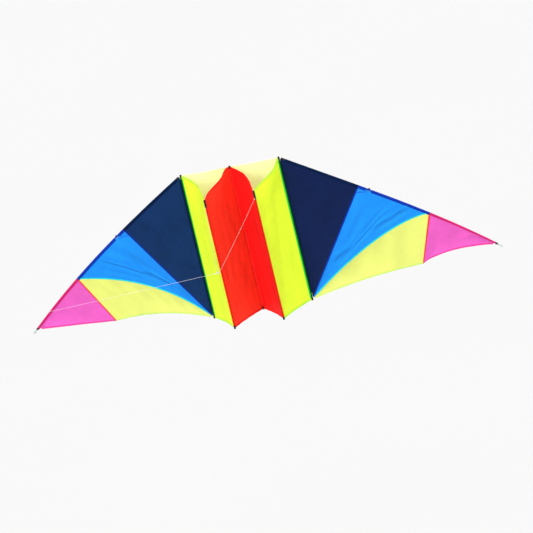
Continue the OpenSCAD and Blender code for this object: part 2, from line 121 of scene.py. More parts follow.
def make_camera():
    """A camera so far off that its view is almost parallel, turned round its own axis by ROLL."""
    ahead = -np.array([
        math.sin(AZIMUTH) * math.cos(ELEVATION),
        -math.cos(AZIMUTH) * math.cos(ELEVATION),
        math.sin(ELEVATION),
    ])
    level = np.array([math.cos(AZIMUTH), math.sin(AZIMUTH), 0])
    up = np.cross(level, ahead)
    right = math.cos(ROLL) * level - math.sin(ROLL) * up
    over = math.sin(ROLL) * level + math.cos(ROLL) * up
    target = VIEW_CENTRE + VIEW_SHIFT[0] * right + VIEW_SHIFT[1] * over
    data = bpy.data.cameras.new("camera")
    data.sensor_width = SENSOR
    data.lens = SENSOR * VIEW_DISTANCE / VIEW_WIDTH
    data.clip_end = 1000
    cam = link("camera", data)
    turned = Matrix(np.stack([right, over, -ahead], axis=1).tolist()).to_4x4()
    cam.matrix_world = Matrix.Translation(target - ahead * VIEW_DISTANCE) @ turned
    bpy.context.scene.camera = cam


make_camera()


# ---------------------------------------------------------------- lines and shells

def mix(a, b, t):
    return a + (b - a) * t


def bulge(t):
    """0 at both ends and 1 in the middle."""
    return 4 * t * (1 - t)


def smooth(t):
    t = np.clip(t, 0, 1)
    return t * t * (3 - 2 * t)


def unit(v):
    return v / np.maximum(np.linalg.norm(v, axis=-1, keepdims=True), 1e-12)


def place(points, sign):
    """Points of the right half, in nose coordinates, as points of one half in the row frame."""
    return np.asarray(points, float) * [sign, 1, 1] + NOSE


def edge(t):
    """Points of the leading-edge spar, at shares t from its root."""
    t = np.asarray(t, float)[..., None]
    s = 1 - t
    a, b, c, d = EDGE_ROUTE
    return s**3 * a + 3 * s * s * t * b + 3 * s * t * t * c + t**3 * d


def grid_cross(grid):
    """Cross products of the steps down the rows and along the columns of a grid of points."""
    return np.cross(np.gradient(grid, axis=0), np.gradient(grid, axis=1))


def mesh_object(name, points, faces, material, smooth_faces=True, attributes=None):
    """A mesh in the scene. attributes holds a number or a vector for each point, by name."""
    mesh = bpy.data.meshes.new(name)
    mesh.from_pydata(np.asarray(points, float).tolist(), [], faces)
    mesh.validate()
    mesh.polygons.foreach_set("use_smooth", [smooth_faces] * len(mesh.polygons))
    for key, values in (attributes or {}).items():
        kind, field = ("FLOAT_VECTOR", "vector") if np.ndim(values) == 2 else ("FLOAT", "value")
        attribute = mesh.attributes.new(key, kind, "POINT")
        attribute.data.foreach_set(field, np.ravel(values).astype(np.float32))
    mesh.update()
    mesh.materials.append(material)
    return link(name, mesh)


def shell_faces(n, m, around):
    """Faces of a closed shell between two grids of n rows and m columns, stored one after the other."""
    back, last = n * m, (n - 1) * m
    columns = m if around else m - 1
    faces, walls = [], []
    for i in range(0, last, m):
        for j in range(columns):
            a, b = i + j, i + (j + 1) % m
            faces += [(a, b, b + m, a + m), (back + a + m, back + b + m, back + b, back + a)]
    for a in range(columns):
        b = (a + 1) % m
        walls += [(b, a), (last + a, last + b)]
    if not around:
        for i in range(0, last, m):
            walls += [(i, i + m), (i + 2 * m - 1, i + m - 1)]
    return faces + [(a, b, back + b, back + a) for a, b in walls]


def shell(front, back, around=False):
    """Points and faces of a closed shell between two grids of points.

    The faces of a tube (around) point outwards, and those of an open strip point into the cloth, on both
    halves of the kite. The materials here look the same from both sides.
    """
    faces = shell_faces(*front.shape[:2], around)
    turned = np.einsum("ijk,ijk->ij", grid_cross(front), front - back).mean() < 0
    if turned != around:
        faces = [f[::-1] for f in faces]
    return np.concatenate([front.reshape(-1, 3), back.reshape(-1, 3)]), faces


class Build:
    """Collects closed shells and solids into one mesh."""

    def __init__(self):
        self.points, self.faces, self.total = [], [], 0

    def solid(self, points, faces):
        self.points.append(points)
        self.faces += [tuple(self.total + k for k in f) for f in faces]
        self.total += len(points)

    def shell(self, front, back, around=False):
        self.solid(*shell(front, back, around))

    def object(self, name, material, body, slot=None, nodes=()):
        o = mesh_object(name, np.concatenate(self.points), self.faces, MATERIAL[material])
        return declare(o, body, nodes)


def distances(line):
    """The distance along a polyline to each of its points."""
    return np.concatenate([[0], np.cumsum(np.linalg.norm(np.diff(line, axis=0), axis=1))])


def resample(line, step=None, count=None):
    """A polyline with evenly spaced points, by step or by count."""
    s = distances(line)
    count = count or max(2, int(round(s[-1] / step)) + 1)
    at = np.linspace(0, s[-1], count)
    return np.stack([np.interp(at, s, line[:, k]) for k in range(line.shape[1])], axis=1)


def frames(line):
    """Two axes across a polyline, with as little twist as it allows."""
    t = unit(np.gradient(line, axis=0))
    ref = np.array([0, 0, 1.0]) if abs(t[0][2]) < 0.9 else np.array([0, 1.0, 0])
    x = np.zeros_like(t)
    x[0] = unit(np.cross(ref, t[0]))
    for i in range(1, len(t)):
        x[i] = unit(x[i - 1] - t[i] * np.dot(x[i - 1], t[i]))
    return x, np.cross(t, x)


def turn(count):
    """Angles that go once around."""
    return np.linspace(0, 2 * math.pi, count, endpoint=False)


def circles(centres, x, y, angles, radius):
    """A row of points round each centre. radius is one value, or one for each point."""
    cos, sin = np.cos(angles)[None, :, None], np.sin(angles)[None, :, None]
    return centres[:, None] + radius * (cos * x[:, None] + sin * y[:, None])


def round_rings(line, radius, around=10):
    x, y = frames(line)
    return circles(line, x, y, turn(around), radius)


def tube(build, rings):
    """A closed tube from rings of points, with both ends filled."""
    n, m = rings.shape[:2]
    points = np.concatenate([rings.reshape(-1, 3), rings[0].mean(0)[None], rings[-1].mean(0)[None]])
    ring = [(j, (j + 1) % m) for j in range(m)]
    faces = [(i + b, i + a, i + m + a, i + m + b) for i in range(0, (n - 1) * m, m) for a, b in ring]
    faces += [(a, b, n * m) for a, b in ring]
    faces += [((n - 1) * m + b, (n - 1) * m + a, n * m + 1) for a, b in ring]
    build.solid(points, faces)


# ---------------------------------------------------------------- materials
def srgb(levels):
    """A colour given in 0 to 255, as a linear colour."""
    shares = [c / 255 for c in levels]
    return (*(c / 12.92 if c <= 0.04045 else ((c + 0.055) / 1.055) ** 2.4 for c in shares), 1.0)


class Tree:
    """A material's node tree, with short calls."""

    def __init__(self, name):
        self.mat = bpy.data.materials.new(name)
        self.mat.use_nodes = True
        self.nt = self.mat.node_tree
        self.nt.nodes.clear()
        self.out = self.node("OutputMaterial")
        self.space = self.node("TexCoord").outputs["Object"]

    def node(self, kind, values=None, **settings):
        n = self.nt.nodes.new("ShaderNode" + kind)
        for key, value in settings.items():
            setattr(n, key, value)
        for key, value in (values or {}).items():
            if isinstance(value, bpy.types.NodeSocket):
                self.nt.links.new(value, n.inputs[key])
            else:
                n.inputs[key].default_value = value
        return n

    def math(self, operation, a, b=0.0):
        return self.node("Math", {0: a, 1: b}, operation=operation).outputs[0]

    def add(self, a, b):
        return self.math("ADD", a, b)

    def times(self, a, b):
        return self.math("MULTIPLY", a, b)

    def noise(self, scale, detail=3.0, roughness=0.55, vector=None):
        """Noise over the object's own space, or over vector. scale is one number, or one for each axis."""
        vector = self.space if vector is None else vector
        if np.ndim(scale):
            vector, scale = self.node("Mapping", {0: vector, "Scale": scale}).outputs[0], 1.0
        values = {"Vector": vector, "Scale": scale, "Detail": detail, "Roughness": roughness}
        return self.node("TexNoise", values).outputs[0]

    def span(self, value, to_low, to_high, low=0.3, high=0.7):
        """The range from low to high of a value, carried over to the range from to_low to to_high."""
        values = {"Value": value, "From Min": low, "From Max": high, "To Min": to_low, "To Max": to_high}
        return self.node("MapRange", values).outputs[0]

    def blend(self, a, b, factor, mode="MIX"):
        return self.node("Mix", {0: factor, 6: a, 7: b}, data_type="RGBA", blend_type=mode).outputs[2]

    def shade(self, colour, value):
        """colour times a grey value."""
        grey = self.node("CombineColor", {0: value, 1: value, 2: value}).outputs[0]
        return self.blend(colour, grey, 1.0, "MULTIPLY")

    def bump(self, height, distance, strength):
        return self.node("Bump", {"Height": height, "Distance": distance, "Strength": strength}).outputs[0]

    def surface(self, base, rough, values, bump=None, through=0.0):
        """The finished material. through is the share of the light that it lets through."""
        normal = {} if bump is None else {"Normal": bump}
        inputs = {"Base Color": base, "Roughness": rough, **normal, **values}
        shader = self.node("BsdfPrincipled", inputs).outputs[0]
        if through:
            lit = self.node("BsdfTranslucent", {"Color": base, **normal}).outputs[0]
            shader = self.node("MixShader", {0: through, 1: shader, 2: lit}).outputs[0]
        self.nt.links.new(shader, self.out.inputs["Surface"])
        return self.mat


RIPSTOP = 0.005          # spacing of the heavy threads of the ripstop grid
THREAD = 0.0008          # spacing of the fine threads
HEM_SHADE = 0.006        # how far in from its rim a panel is a little darker


def cloth(name, colour, through=0.45, ripstop=1.0, mottle=0.05, painted_fold_shade=0.05):
    """Ripstop cloth: a fine weave with a grid of heavier threads, stains, light from behind, and painted
    shade and highlight on its folds.
    """
    t = Tree(name)
    weave = t.node("Attribute", attribute_name="weave").outputs["Vector"]
    fold = t.node("Attribute", attribute_name="fold").outputs["Fac"]
    over, along, from_rim = t.node("SeparateXYZ", {0: weave}).outputs[:3]

    def lines(value, pitch, sharp):
        wave = t.math("ABSOLUTE", t.math("COSINE", t.times(value, math.pi / pitch)))
        return t.math("POWER", wave, sharp)

    grid = t.math("MAXIMUM", lines(over, RIPSTOP, 40.0), lines(along, RIPSTOP, 40.0))
    threads = t.times(lines(over, THREAD, 1.0), lines(along, THREAD, 1.0))
    broad = t.noise(7.0, 2.0)
    middle = t.noise(45.0, 4.0, 0.6)
    slub = t.noise((30.0, 900.0, 1.0), 2.0, vector=weave)
    value = t.add(t.span(broad, 1 - mottle, 1 + mottle), t.span(middle, -mottle * 0.8, mottle * 0.8))
    value = t.add(value, t.span(slub, -0.015, 0.015))
    value = t.math("SUBTRACT", value, t.times(grid, 0.05 * ripstop))
    value = t.times(value, t.span(from_rim, 0.9, 1.0, 0.0, HEM_SHADE))
    # painted shade in the hollows of the folds and a painted highlight on their ridges, by the folds' depth
    value = t.times(value, t.span(fold, 1 - 2 * painted_fold_shade, 1 + painted_fold_shade, -1.0, 1.0))
    height = t.add(t.times(grid, 0.6 * ripstop), t.times(threads, 0.35))
    height = t.add(height, t.times(middle, 0.8))
    rough = t.add(t.span(middle, 0.57, 0.67), t.times(grid, -0.08))
    soft = {"Specular IOR Level": 0.12, "Sheen Weight": 0.03, "Sheen Roughness": 0.5}
    return t.surface(t.shade(srgb(colour), value), rough, soft, t.bump(height, 0.0002, 0.5), through)


def sewn(name, colour, across=0.0012, through=0.0, specular=0.12, mottle=0.08):
    """Folded and sewn cloth of more than one layer, such as a sleeve, a hem or a seam, with puckers."""
    t = Tree(name)
    fine = t.noise(1.0 / across, 2.0)
    middle = t.noise(120.0, 4.0, 0.6)
    broad = t.noise(14.0, 2.0)
    value = t.add(t.span(broad, 1 - mottle, 1 + mottle), t.span(middle, -mottle, mottle))
    value = t.add(value, t.span(fine, -0.04, 0.04, 0.35, 0.65))
    bump = t.bump(t.add(t.times(middle, 2.0), t.times(fine, 0.4)), 0.0004, 0.6)
    rough = t.span(middle, 0.64, 0.76)
    return t.surface(t.shade(srgb(colour), value), rough, {"Specular IOR Level": specular}, bump, through)


def plastic(name, colour, rough=0.4, grain=900.0, specular=0.35):
    """Moulded or dipped vinyl, with a faint grain, scuffs and dust."""
    t = Tree(name)
    colour = srgb(colour)
    dusty = (*(min(1.0, c * 2.2 + 0.02) for c in colour[:3]), 1.0)
    fine = t.noise(grain)
    scuff = t.noise((900.0, 900.0, 160.0), 4.0, 0.7)
    broad = t.noise(60.0)
    worn = t.math("POWER", t.span(scuff, 0.0, 1.0, 0.45, 0.8), 2.0)
    base = t.blend(t.shade(colour, t.span(broad, 0.85, 1.2)), dusty, t.times(worn, 0.35))
    bump = t.bump(t.add(fine, t.times(worn, -0.5)), 0.00006, 0.5)
    rough = t.add(t.span(broad, rough - 0.06, rough + 0.06), t.times(worn, 0.2))
    return t.surface(base, rough, {"Specular IOR Level": specular}, bump)


def fibre(name, colour, dark):
    """Pultruded glass fibre: fine streaks along the rod and a thin clear surface."""
    t = Tree(name)
    streak = t.noise((1800.0, 1800.0, 40.0))
    broad = t.noise(30.0)
    base = t.blend(srgb(dark), srgb(colour), t.span(streak, 0.0, 1.0, 0.35, 0.6))
    base = t.shade(base, t.span(broad, 0.9, 1.1))
    clear = {"Coat Weight": 0.25, "Coat Roughness": 0.2}
    return t.surface(base, t.span(broad, 0.26, 0.4), clear, t.bump(streak, 0.00003, 0.4))


def metal(name, colour, rough=0.3, streaks=(60.0, 2200.0, 2200.0)):
    """Drawn or turned metal, with fine lines and a little dullness."""
    t = Tree(name)
    fine = t.noise(streaks)
    broad = t.noise(90.0, 4.0, 0.6)
    base = t.shade(srgb(colour), t.add(t.span(fine, 0.9, 1.05), t.span(broad, -0.08, 0.05)))
    bump = t.bump(fine, 0.00004, 0.4)
    return t.surface(base, t.span(broad, rough - 0.06, rough + 0.12), {"Metallic": 1.0}, bump)


def yarns(name, colour, dark, pitch=0.0016):
    """Cord of lighter and darker yarns."""
    t = Tree(name)
    yarn = t.noise(1.0 / pitch * 0.6, 3.0, 0.6)
    broad = t.noise(25.0)
    base = t.blend(srgb(dark), srgb(colour), t.span(yarn, 0.0, 1.0, 0.3, 0.55))
    base = t.shade(base, t.span(broad, 0.92, 1.06))
    soft = {"Specular IOR Level": 0.3, "Sheen Weight": 0.1}
    return t.surface(base, t.span(broad, 0.6, 0.75), soft, t.bump(yarn, 0.0001, 0.7))


MATERIAL = {
    "upper": cloth("ripstop_pale_yellow", (240, 243, 196), through=0.65, mottle=0.02),
    "lime": cloth("ripstop_lime", (232, 253, 62), mottle=0.03),
    # the left red and navy cloths are lighter copies and the right ones darker copies of one colour: painted
    # light and painted shade
    "red_left": cloth("ripstop_red_painted_lit_left", (251, 63, 38), painted_fold_shade=0.06),
    "red_right": cloth("ripstop_red_painted_shade_right", (247, 28, 25), painted_fold_shade=0.06),
    "navy_left": cloth("ripstop_navy_painted_lit_left", (10, 49, 99), mottle=0.12, ripstop=2.0),
    "navy_right": cloth("ripstop_navy_painted_shade_right", (7, 29, 78), mottle=0.12, ripstop=2.0),
    "blue": cloth("ripstop_blue", (30, 150, 231), painted_fold_shade=0.12),
    "yellow": cloth("ripstop_yellow", (226, 231, 133), mottle=0.02),
    "pink": cloth("ripstop_pink", (227, 107, 198)),
    "sleeve_green": sewn("sewn_dark_green", (5, 50, 20), specular=0.04),
    "flange_green": sewn("sewn_bright_green", (30, 200, 50), through=0.3),
    "sleeve_red": sewn("sewn_red", (182, 22, 10), specular=0.04),
    "sleeve_spine": sewn("sewn_spine_red", (248, 30, 24)),
    "sleeve_navy": sewn("sewn_navy", (5, 22, 54), specular=0.02),
    "sleeve_blue": sewn("sewn_blue", (6, 42, 142), specular=0.06),
    "sleeve_pink": sewn("sewn_magenta", (180, 17, 92)),
    "seam_navy": sewn("seam_navy_blue", (6, 42, 150), through=0.2, specular=0.06),
    "seam_teal": sewn("seam_teal", (0, 205, 200), through=0.3),
    "seam_orange": sewn("seam_orange", (245, 60, 40), through=0.3),
    "hem_lime": sewn("hem_lime", (190, 242, 60), through=0.35),
    "hem_red": sewn("hem_red", (236, 22, 20), through=0.3),
    "hem_upper": sewn("hem_pale", (240, 244, 190), through=0.4),
    "hem_yellow": sewn("hem_yellow", (206, 236, 110), through=0.35),
    "hem_pink": sewn("hem_magenta", (222, 60, 150), through=0.3),
    "patch": sewn("patch_blue", (20, 118, 232), through=0.2),
    "facing": sewn("facing_dark", (40, 36, 44)),
    "patch_hem": sewn("patch_hem_blue", (10, 84, 205), through=0.2),
    "vinyl": plastic("black_vinyl", (13, 14, 15), specular=0.16),
    "moulded": plastic("black_moulding", (16, 17, 19), rough=0.48, grain=1400.0, specular=0.2),
    "nock": plastic("pale_nock", (150, 160, 157), rough=0.35),
    "webbing": sewn("black_webbing", (26, 26, 28), across=0.0008),
    "rod": fibre("glass_fibre", (160, 168, 163), (124, 133, 128)),
    "ferrule": metal("ferrule_alloy", (196, 198, 200)),
    "ring": metal("ring_steel", (190, 192, 196), rough=0.22, streaks=(1500.0, 1500.0, 1500.0)),
    "bridle": yarns("bridle_cord", (208, 194, 186), (150, 136, 130)),
    "line": yarns("flying_cord", (204, 202, 212), (154, 152, 164), pitch=0.0012),
}
for thread, colour in {
    "navy": (30, 42, 84), "blue": (50, 120, 225), "teal": (70, 200, 215), "red": (236, 60, 48),
    "magenta": (236, 96, 170), "pale": (238, 242, 170), "lime": (190, 240, 90), "green": (60, 170, 80),
}.items():
    MATERIAL["thread_" + thread] = sewn("thread_" + thread, colour, across=0.0004)


# ---------------------------------------------------------------- the flying line, first after the camera
def make_flying_line():
    route = resample(LINE_ROUTE, step=0.012)
    curve = bpy.data.curves.new("flying_line_cord", "CURVE")
    curve.dimensions = "3D"
    curve.bevel_depth = LINE_D / 2
    curve.bevel_resolution = 3
    curve.use_fill_caps = True
    spline = curve.splines.new("POLY")
    spline.points.add(len(route) - 1)
    for point, at in zip(spline.points, route):
        point.co = (*at, 1)
    curve.materials.append(MATERIAL["line"])
    return declare(link("flying_line_cord", curve), "tow_line", ["flying_line"])


line = make_flying_line()

# ---------------------------------------------------------------- cords with their loops and knots
TWIST_PITCH = 0.006
STRANDS = 3
TWIST_STEP = 0.0012      # spacing of the rings of a twisted cord


def twisted(build, route, diameter):
    """A laid cord of three strands along a route."""
    pts = resample(route, step=TWIST_STEP)
    x, y = frames(pts)
    angles = turn(12)
    wound = 2 * math.pi * (np.arange(len(pts)) * TWIST_STEP)[:, None] / TWIST_PITCH
    radius = diameter / 2 * (0.88 + 0.12 * np.cos(STRANDS * (angles[None] - wound)))
    tube(build, circles(pts, x, y, angles, radius[..., None]))


def wound_knot(build, start, d, length, radius, wire):
    """Turns of cord wound round a cord: one helix from start along d."""
    x = unit(np.cross(d, [0.3, 0.2, 0.9]))
    y = np.cross(d, x)
    turns = length / (2 * wire) - 0.6
    a = np.linspace(0, 2 * math.pi * turns, int(18 * turns))
    centre = start + d * (wire + (length - 2 * wire) * (a / a[-1]))[:, None]
    helix = centre + (radius - wire) * (np.cos(a)[:, None] * x + np.sin(a)[:, None] * y)
    tube(build, round_rings(helix, wire, 8))


def drop_loop(build, base, d, side, length, width, wire):
    """A loop of cord that starts and ends at base and reaches length along d."""
    a = np.linspace(0, 2 * math.pi, 41)
    reach = (1 - np.cos(a)) / 2
    across = width / 2 * np.sin(a) * (0.55 + 0.45 * reach) * 1.15
    route = base + (length * reach)[:, None] * unit(d) + across[:, None] * unit(side)
    tube(build, round_rings(route, wire))


def make_line_ends():
    """The knot at the ring and the loop at the free end of the flying line."""
    start, d = LINE_ROUTE[0], unit(-LINE_ROUTE[0])
    knot = Build()
    wound_knot(knot, start, d, 0.005, 0.0015, 0.00055)
    drop_loop(knot, start + d * 0.0052, d, (0, 0, 1), 0.0058, 0.0052, 0.0006)
    last, d = LINE_ROUTE[-1], unit(LINE_ROUTE[-1] - LINE_ROUTE[-2])
    end = Build()
    wound_knot(end, last, d, 0.0065, 0.0017, 0.0006)
    drop_loop(end, last + d * 0.005, d, unit(np.cross(d, (0, 0, 1))), 0.018, 0.014, 0.0006)
    return [knot.object("flying_line_knot", "line", "tow_line", "flying_cord", ["line_knot"]),
            end.object("flying_line_end_loop", "line", "tow_line", "flying_cord", ["line_end_loop"])]


line_pieces = make_line_ends()

LEG_SPREAD = math.radians(32)            # from the ring's back to each leg
KNOT_AT = 0.0086         # from the middle of the ring to the bridle's knots
TAB_LOOP_R = 0.006       # from a tow tab's pivot to the start of its leg


def make_bridle(side):
    """A leg of the bridle: a twisted cord with a knot and a loop at the tow tab and at the ring."""
    sign = SIDES[side]
    pivot = place(TAB_PIVOT, sign)
    flat = unit(np.array([0, -pivot[1], -pivot[2]]))
    ring_dir = np.array([sign * math.sin(LEG_SPREAD), math.cos(LEG_SPREAD), 0])
    start, end = pivot + flat * TAB_LOOP_R, ring_dir * KNOT_AT
    d = unit(end - start)
    b = Build()
    share = np.linspace(0, 1, 40)[:, None]
    sag = np.array([0, 0, -0.004]) * bulge(share)
    twisted(b, mix(start, end, share) + sag, BRIDLE_D)
    drop_loop(b, start + d * 0.0005, -flat, (0, flat[2], -flat[1]), 0.0078, 0.0088, BRIDLE_D / 2)
    wound_knot(b, start, d, 0.006, 0.0017, 0.00065)
    wound_knot(b, end - d * 0.0055, d, 0.0055, 0.0016, 0.00062)
    drop_loop(b, end, -ring_dir, (0, 0, 1), 0.0058, 0.0052, 0.0006)
    b.object("bridle_cord_" + side, "bridle", "tow_line", "bridle_cord", ["bridle_leg_" + side])


for side in SIDES:
    make_bridle(side)


# ---------------------------------------------------------------- wind folds in the cloth
def ripples(across, along, seed, wavelength, amount, count=5, spread=0.25):
    """A sum of long, uneven ridges that run along the second coordinate. Both coordinates are in metres."""
    rng = np.random.default_rng(seed)
    total = np.zeros_like(across)
    for _ in range(count):
        w = wavelength * rng.uniform(0.6, 1.6)
        slant = rng.uniform(-spread, spread)
        phase, drift = rng.uniform(0, 2 * math.pi, 2)
        reach = rng.uniform(0.2, 0.6)
        envelope = 0.6 + 0.4 * np.sin(2 * math.pi * along / reach + drift)
        total += np.sin(2 * math.pi * (across + slant * along) / w + phase) * envelope
    return amount * total / math.sqrt(count)


def crease(points, route, width, depth):
    """A soft groove along a route of points, as a displacement in metres, at each of the given points."""
    line = resample(np.asarray(route, float), count=60)
    best = np.full(points.shape[:-1], 1e9)
    share = np.zeros(points.shape[:-1])
    for k, at in enumerate(line):
        d = np.linalg.norm(points - at, axis=-1)
        nearer = d < best
        best = np.where(nearer, d, best)
        share = np.where(nearer, k / 59, share)
    taper = np.sqrt(np.clip(bulge(share), 0, 1))
    groove = np.exp(-((best / width) ** 2))
    ridge = np.exp(-(((best - 1.8 * width) / width) ** 2))
    return depth * taper * (0.55 * ridge - groove)


# ---------------------------------------------------------------- panels
def curved_seam(u, side):
    u = np.asarray(u, float)[..., None]
    lean = np.clip(u, 0, 1) ** SEAM_LEAN[side]
    return mix(edge(SEAM_B), TAIL, u) + np.array([-0.5, 0, 0.87]) * SEAM_RISE[side] * bulge(lean)


def yellow_edge(u, side):
    u = np.asarray(u, float)[..., None]
    return mix(CORNER, TAIL, u) + np.array([0, 0, YELLOW_SCALLOP[side]]) * bulge(u)


def pink_edge(u, side):
    u = np.asarray(u, float)[..., None]
    lean = np.clip(u, 0, 1) ** 0.8
    return mix(CORNER, edge(CLOTH_END), u) + np.array([0, 0, PINK_SCALLOP[side]]) * bulge(lean)


def room(width, a, b, t):
    """A share t of what is left of a width between a and b at its ends, as a share of the whole width."""
    return (a + (width - a - b) * t) / width


def billow(u, v):
    """How far the wind blows a wing panel back, as a vector at each point."""
    return np.stack([np.zeros_like(u), WING_BILLOW * bulge(u) * bulge(v), np.zeros_like(u)], axis=-1)


EDGE_IN = 0.0034         # from the edge spar's axis to the hidden rim of the cloth in its sleeve
HINGE_GAP = 0.00400      # from a longeron's axis to the wing's cloth
TAIL_ROOM = 0.013        # from the tail corner to the wing's cloth
TIP_ROOM = 0.02          # from the end of the leading edge's cloth to the pink panel


def navy(u, v, side):
    rim = edge(SEAM_A * v)
    uu = room(np.linalg.norm(TAIL - rim, axis=-1), EDGE_IN, TAIL_ROOM, u)
    row = mix(edge(SEAM_A) - np.array([CELL_W, 0, 0]), np.zeros(3), uu[..., None])
    beside_cap = 1 - smooth((SPAR_LEN * np.minimum(uu, 1 - uu) - CAP_REACH) / 0.004)
    reach = np.maximum(np.linalg.norm(row[..., :2], axis=-1), 1e-6)
    vv = np.minimum(room(reach, HINGE_GAP + CAP_ROOM * beside_cap, 0, v), 1.0)
    return mix(edge(SEAM_A * vv), TAIL, uu[..., None]) + billow(uu, vv)


def blue(u, v, side):
    share = mix(SEAM_A, SEAM_B, v)
    opened = smooth((share - SLIT[0]) / 0.006) * smooth((SLIT[1] - share) / 0.006)
    reach = np.linalg.norm(TAIL - edge(SEAM_B))
    uu = room(reach, EDGE_IN, TAIL_ROOM, u) + SLIT_ROOM / reach * opened * np.clip(1 - u / 0.02, 0, 1)
    flat = mix(edge(share), TAIL, uu[..., None])
    lift = curved_seam(uu, side) - mix(edge(SEAM_B), TAIL, uu[..., None])
    return flat + v[..., None] * lift + billow(uu, v)


def yellow(u, v, side):
    reach = np.linalg.norm(TAIL - edge(SEAM_B))
    uu = room(reach, 0.0, TAIL_ROOM, u)
    a, b = curved_seam(uu, side), yellow_edge(uu, side)
    start = np.maximum(0.0, EDGE_IN - uu * reach)
    vv = room(np.linalg.norm(b - a, axis=-1), start, 0.0, v)
    return mix(a, b, vv[..., None]) + billow(uu, vv)


def pink(u, v, side):
    uu = room(np.linalg.norm(edge(CLOTH_END) - edge(SEAM_B)), 0.0, TIP_ROOM, u)
    rim, out = edge(mix(SEAM_B, CLOTH_END, uu)), pink_edge(uu, side)
    vv = room(np.linalg.norm(out - rim, axis=-1), EDGE_IN, 0.0, v)
    return mix(rim, out, vv[..., None]) + billow(uu, vv)


CELL_ROOM = 0.0035       # from a spar's axis to the hidden rim of a cell panel


def cell(kind, p, q, top_p, top_q, bow, u, v, side_name):
    """A panel between two spars at p and q: u from the mouth to the tail, v from p to q."""
    rise, rise_power, blow, blow_power, lean = MOUTH[kind, side_name]
    p, q = np.array(p, float), np.array(q, float)
    t = np.clip(room(np.linalg.norm(q - p), CELL_ROOM, CELL_ROOM, v), 0, 1)
    top = mix(top_p, top_q, t) + rise * (1 - np.abs(2 * t - 1) ** rise_power)
    blown = SIDES[side_name] * blow * np.sin(math.pi * t ** lean) ** blow_power
    z = mix(top, -SPAR_LEN, u)
    side = unit(np.array([p[1] - q[1], q[0] - p[0]]))
    near_mouth = smooth(1 - (top - z) / MOUTH_REACH)
    bowed = bow * bulge(t) * (1 - near_mouth)
    x = mix(p[0], q[0], t) + side[0] * bowed + blown * near_mouth
    y = mix(p[1], q[1], t) + side[1] * bowed
    return np.stack([x, y, z], axis=-1)


def upper(u, v, side):
    return cell("upper", [0, 0], [CELL_W, 0], 0, 0, 0.003, u, v, side)


def lime(u, v, side):
    return cell("lime", KEEL, [CELL_W, 0], -KEEL_START, 0, CELL_BOW, u, v, side)


def red(u, v, side):
    return cell("red", [0, 0], KEEL, 0, -KEEL_START, CELL_BOW, u, v, side)


WING_LONG = 0.75         # rough sizes of the panels, for their folds
CELL_WIDE, CELL_LONG = 0.21, 0.6
SEED_END = {"left": 1, "right": 2}
FOLD_SHADE = 0.0025      # depth of a fold at which its shade is full


def fan(u, v, seed, width, amount=0.0007):
    """Folds that run from the leading edge to the tail corner."""
    fade = np.minimum(1, bulge(v) * 1.6) * smooth(u / 0.06) * smooth((1 - u) / 0.05)
    across, along = v * width, u * WING_LONG
    return fade * (ripples(across, along, seed, width / 4, amount) +
                   ripples(across, along, seed + 50, width / 9, amount * 0.35))


def fold_navy(u, v, side):
    return fan(u, v, 10 + SEED_END[side], 0.36)


BLUE_CREASES = {
    # shares of the panel along the crease, half width, depth
    "left": (
        ([(0.04, 0.61), (0.16, 0.622), (0.27, 0.613), (0.41, 0.60)], 0.0045, 0.0036),
        ([(0.36, 0.55), (0.47, 0.50), (0.62, 0.44)], 0.010, 0.0030),
        ([(0.42, 0.41), (0.50, 0.40), (0.58, 0.35), (0.66, 0.31)], 0.005, -0.0024),
        ([(0.10, 0.76), (0.24, 0.78), (0.40, 0.76)], 0.006, 0.0014),
    ),
    "right": (
        ([(0.10, 0.615), (0.17, 0.60), (0.25, 0.613), (0.35, 0.642), (0.54, 0.67)], 0.0045, 0.0036),
        ([(0.03, 0.785), (0.11, 0.77), (0.17, 0.785), (0.24, 0.75), (0.33, 0.725)], 0.008, 0.0032),
        ([(0.54, 0.60), (0.62, 0.46), (0.68, 0.34)], 0.011, 0.0026),
        ([(0.06, 0.50), (0.20, 0.51), (0.36, 0.55)], 0.006, 0.0012),
    ),
}


def fold_blue(u, v, side):
    depth = fan(u, v, 20 + SEED_END[side], 0.33)
    p = blue(u, v, side)
    for shares, width, deep in BLUE_CREASES[side]:
        s = np.array(shares, float)
        depth = depth + crease(p, blue(s[:, 0], s[:, 1], side), width, deep)
    return depth * smooth(bulge(v) * 2.5)


def fold_yellow(u, v, side):
    fade = np.minimum(1, v * 6) * smooth(u / 0.05) * smooth((1 - u) / 0.05)
    return fade * ripples(u * WING_LONG, v * 0.2, 30 + SEED_END[side], 0.16, 0.0009, spread=0.8)


def fold_pink(u, v, side):
    fade = np.minimum(1, v * 6) * smooth(u / 0.08) * smooth((1 - u) / 0.05)
    return fade * ripples(u * 0.36, v * 0.3, 40 + SEED_END[side], 0.11, 0.0009, spread=0.8)


def fold_cell(u, v, seed, amount, wavelength):
    fade = np.minimum(1, bulge(v) * 1.5)
    across, along = v * CELL_WIDE, u * CELL_LONG
    return fade * (ripples(across, along, seed, wavelength, amount) +
                   ripples(across + u * 0.14, along, seed + 7, wavelength * 0.8, amount * 0.5))


def fold_upper(u, v, side):
    return fold_cell(u, v, 50 + SEED_END[side], 0.0006, 0.1)


def fold_lime(u, v, side):
    return fold_cell(u, v, 60 + SEED_END[side], 0.0008, 0.09)


def fold_red(u, v, side):
    seed = 70 + SEED_END[side]
    fade = np.minimum(1, bulge(v) * 1.5) * (0.3 + smooth((u - 0.3) / 0.5))
    fade = fade * (0.2 + 0.8 * smooth((1 - u) / 0.15))
    across, along = v * CELL_WIDE - u * 0.05, u * CELL_LONG
    soft = fade * ripples(across, along, seed + 2, 0.07, 0.0016, count=4)
    return fold_cell(u, v, seed, 0.0007, 0.06) + soft


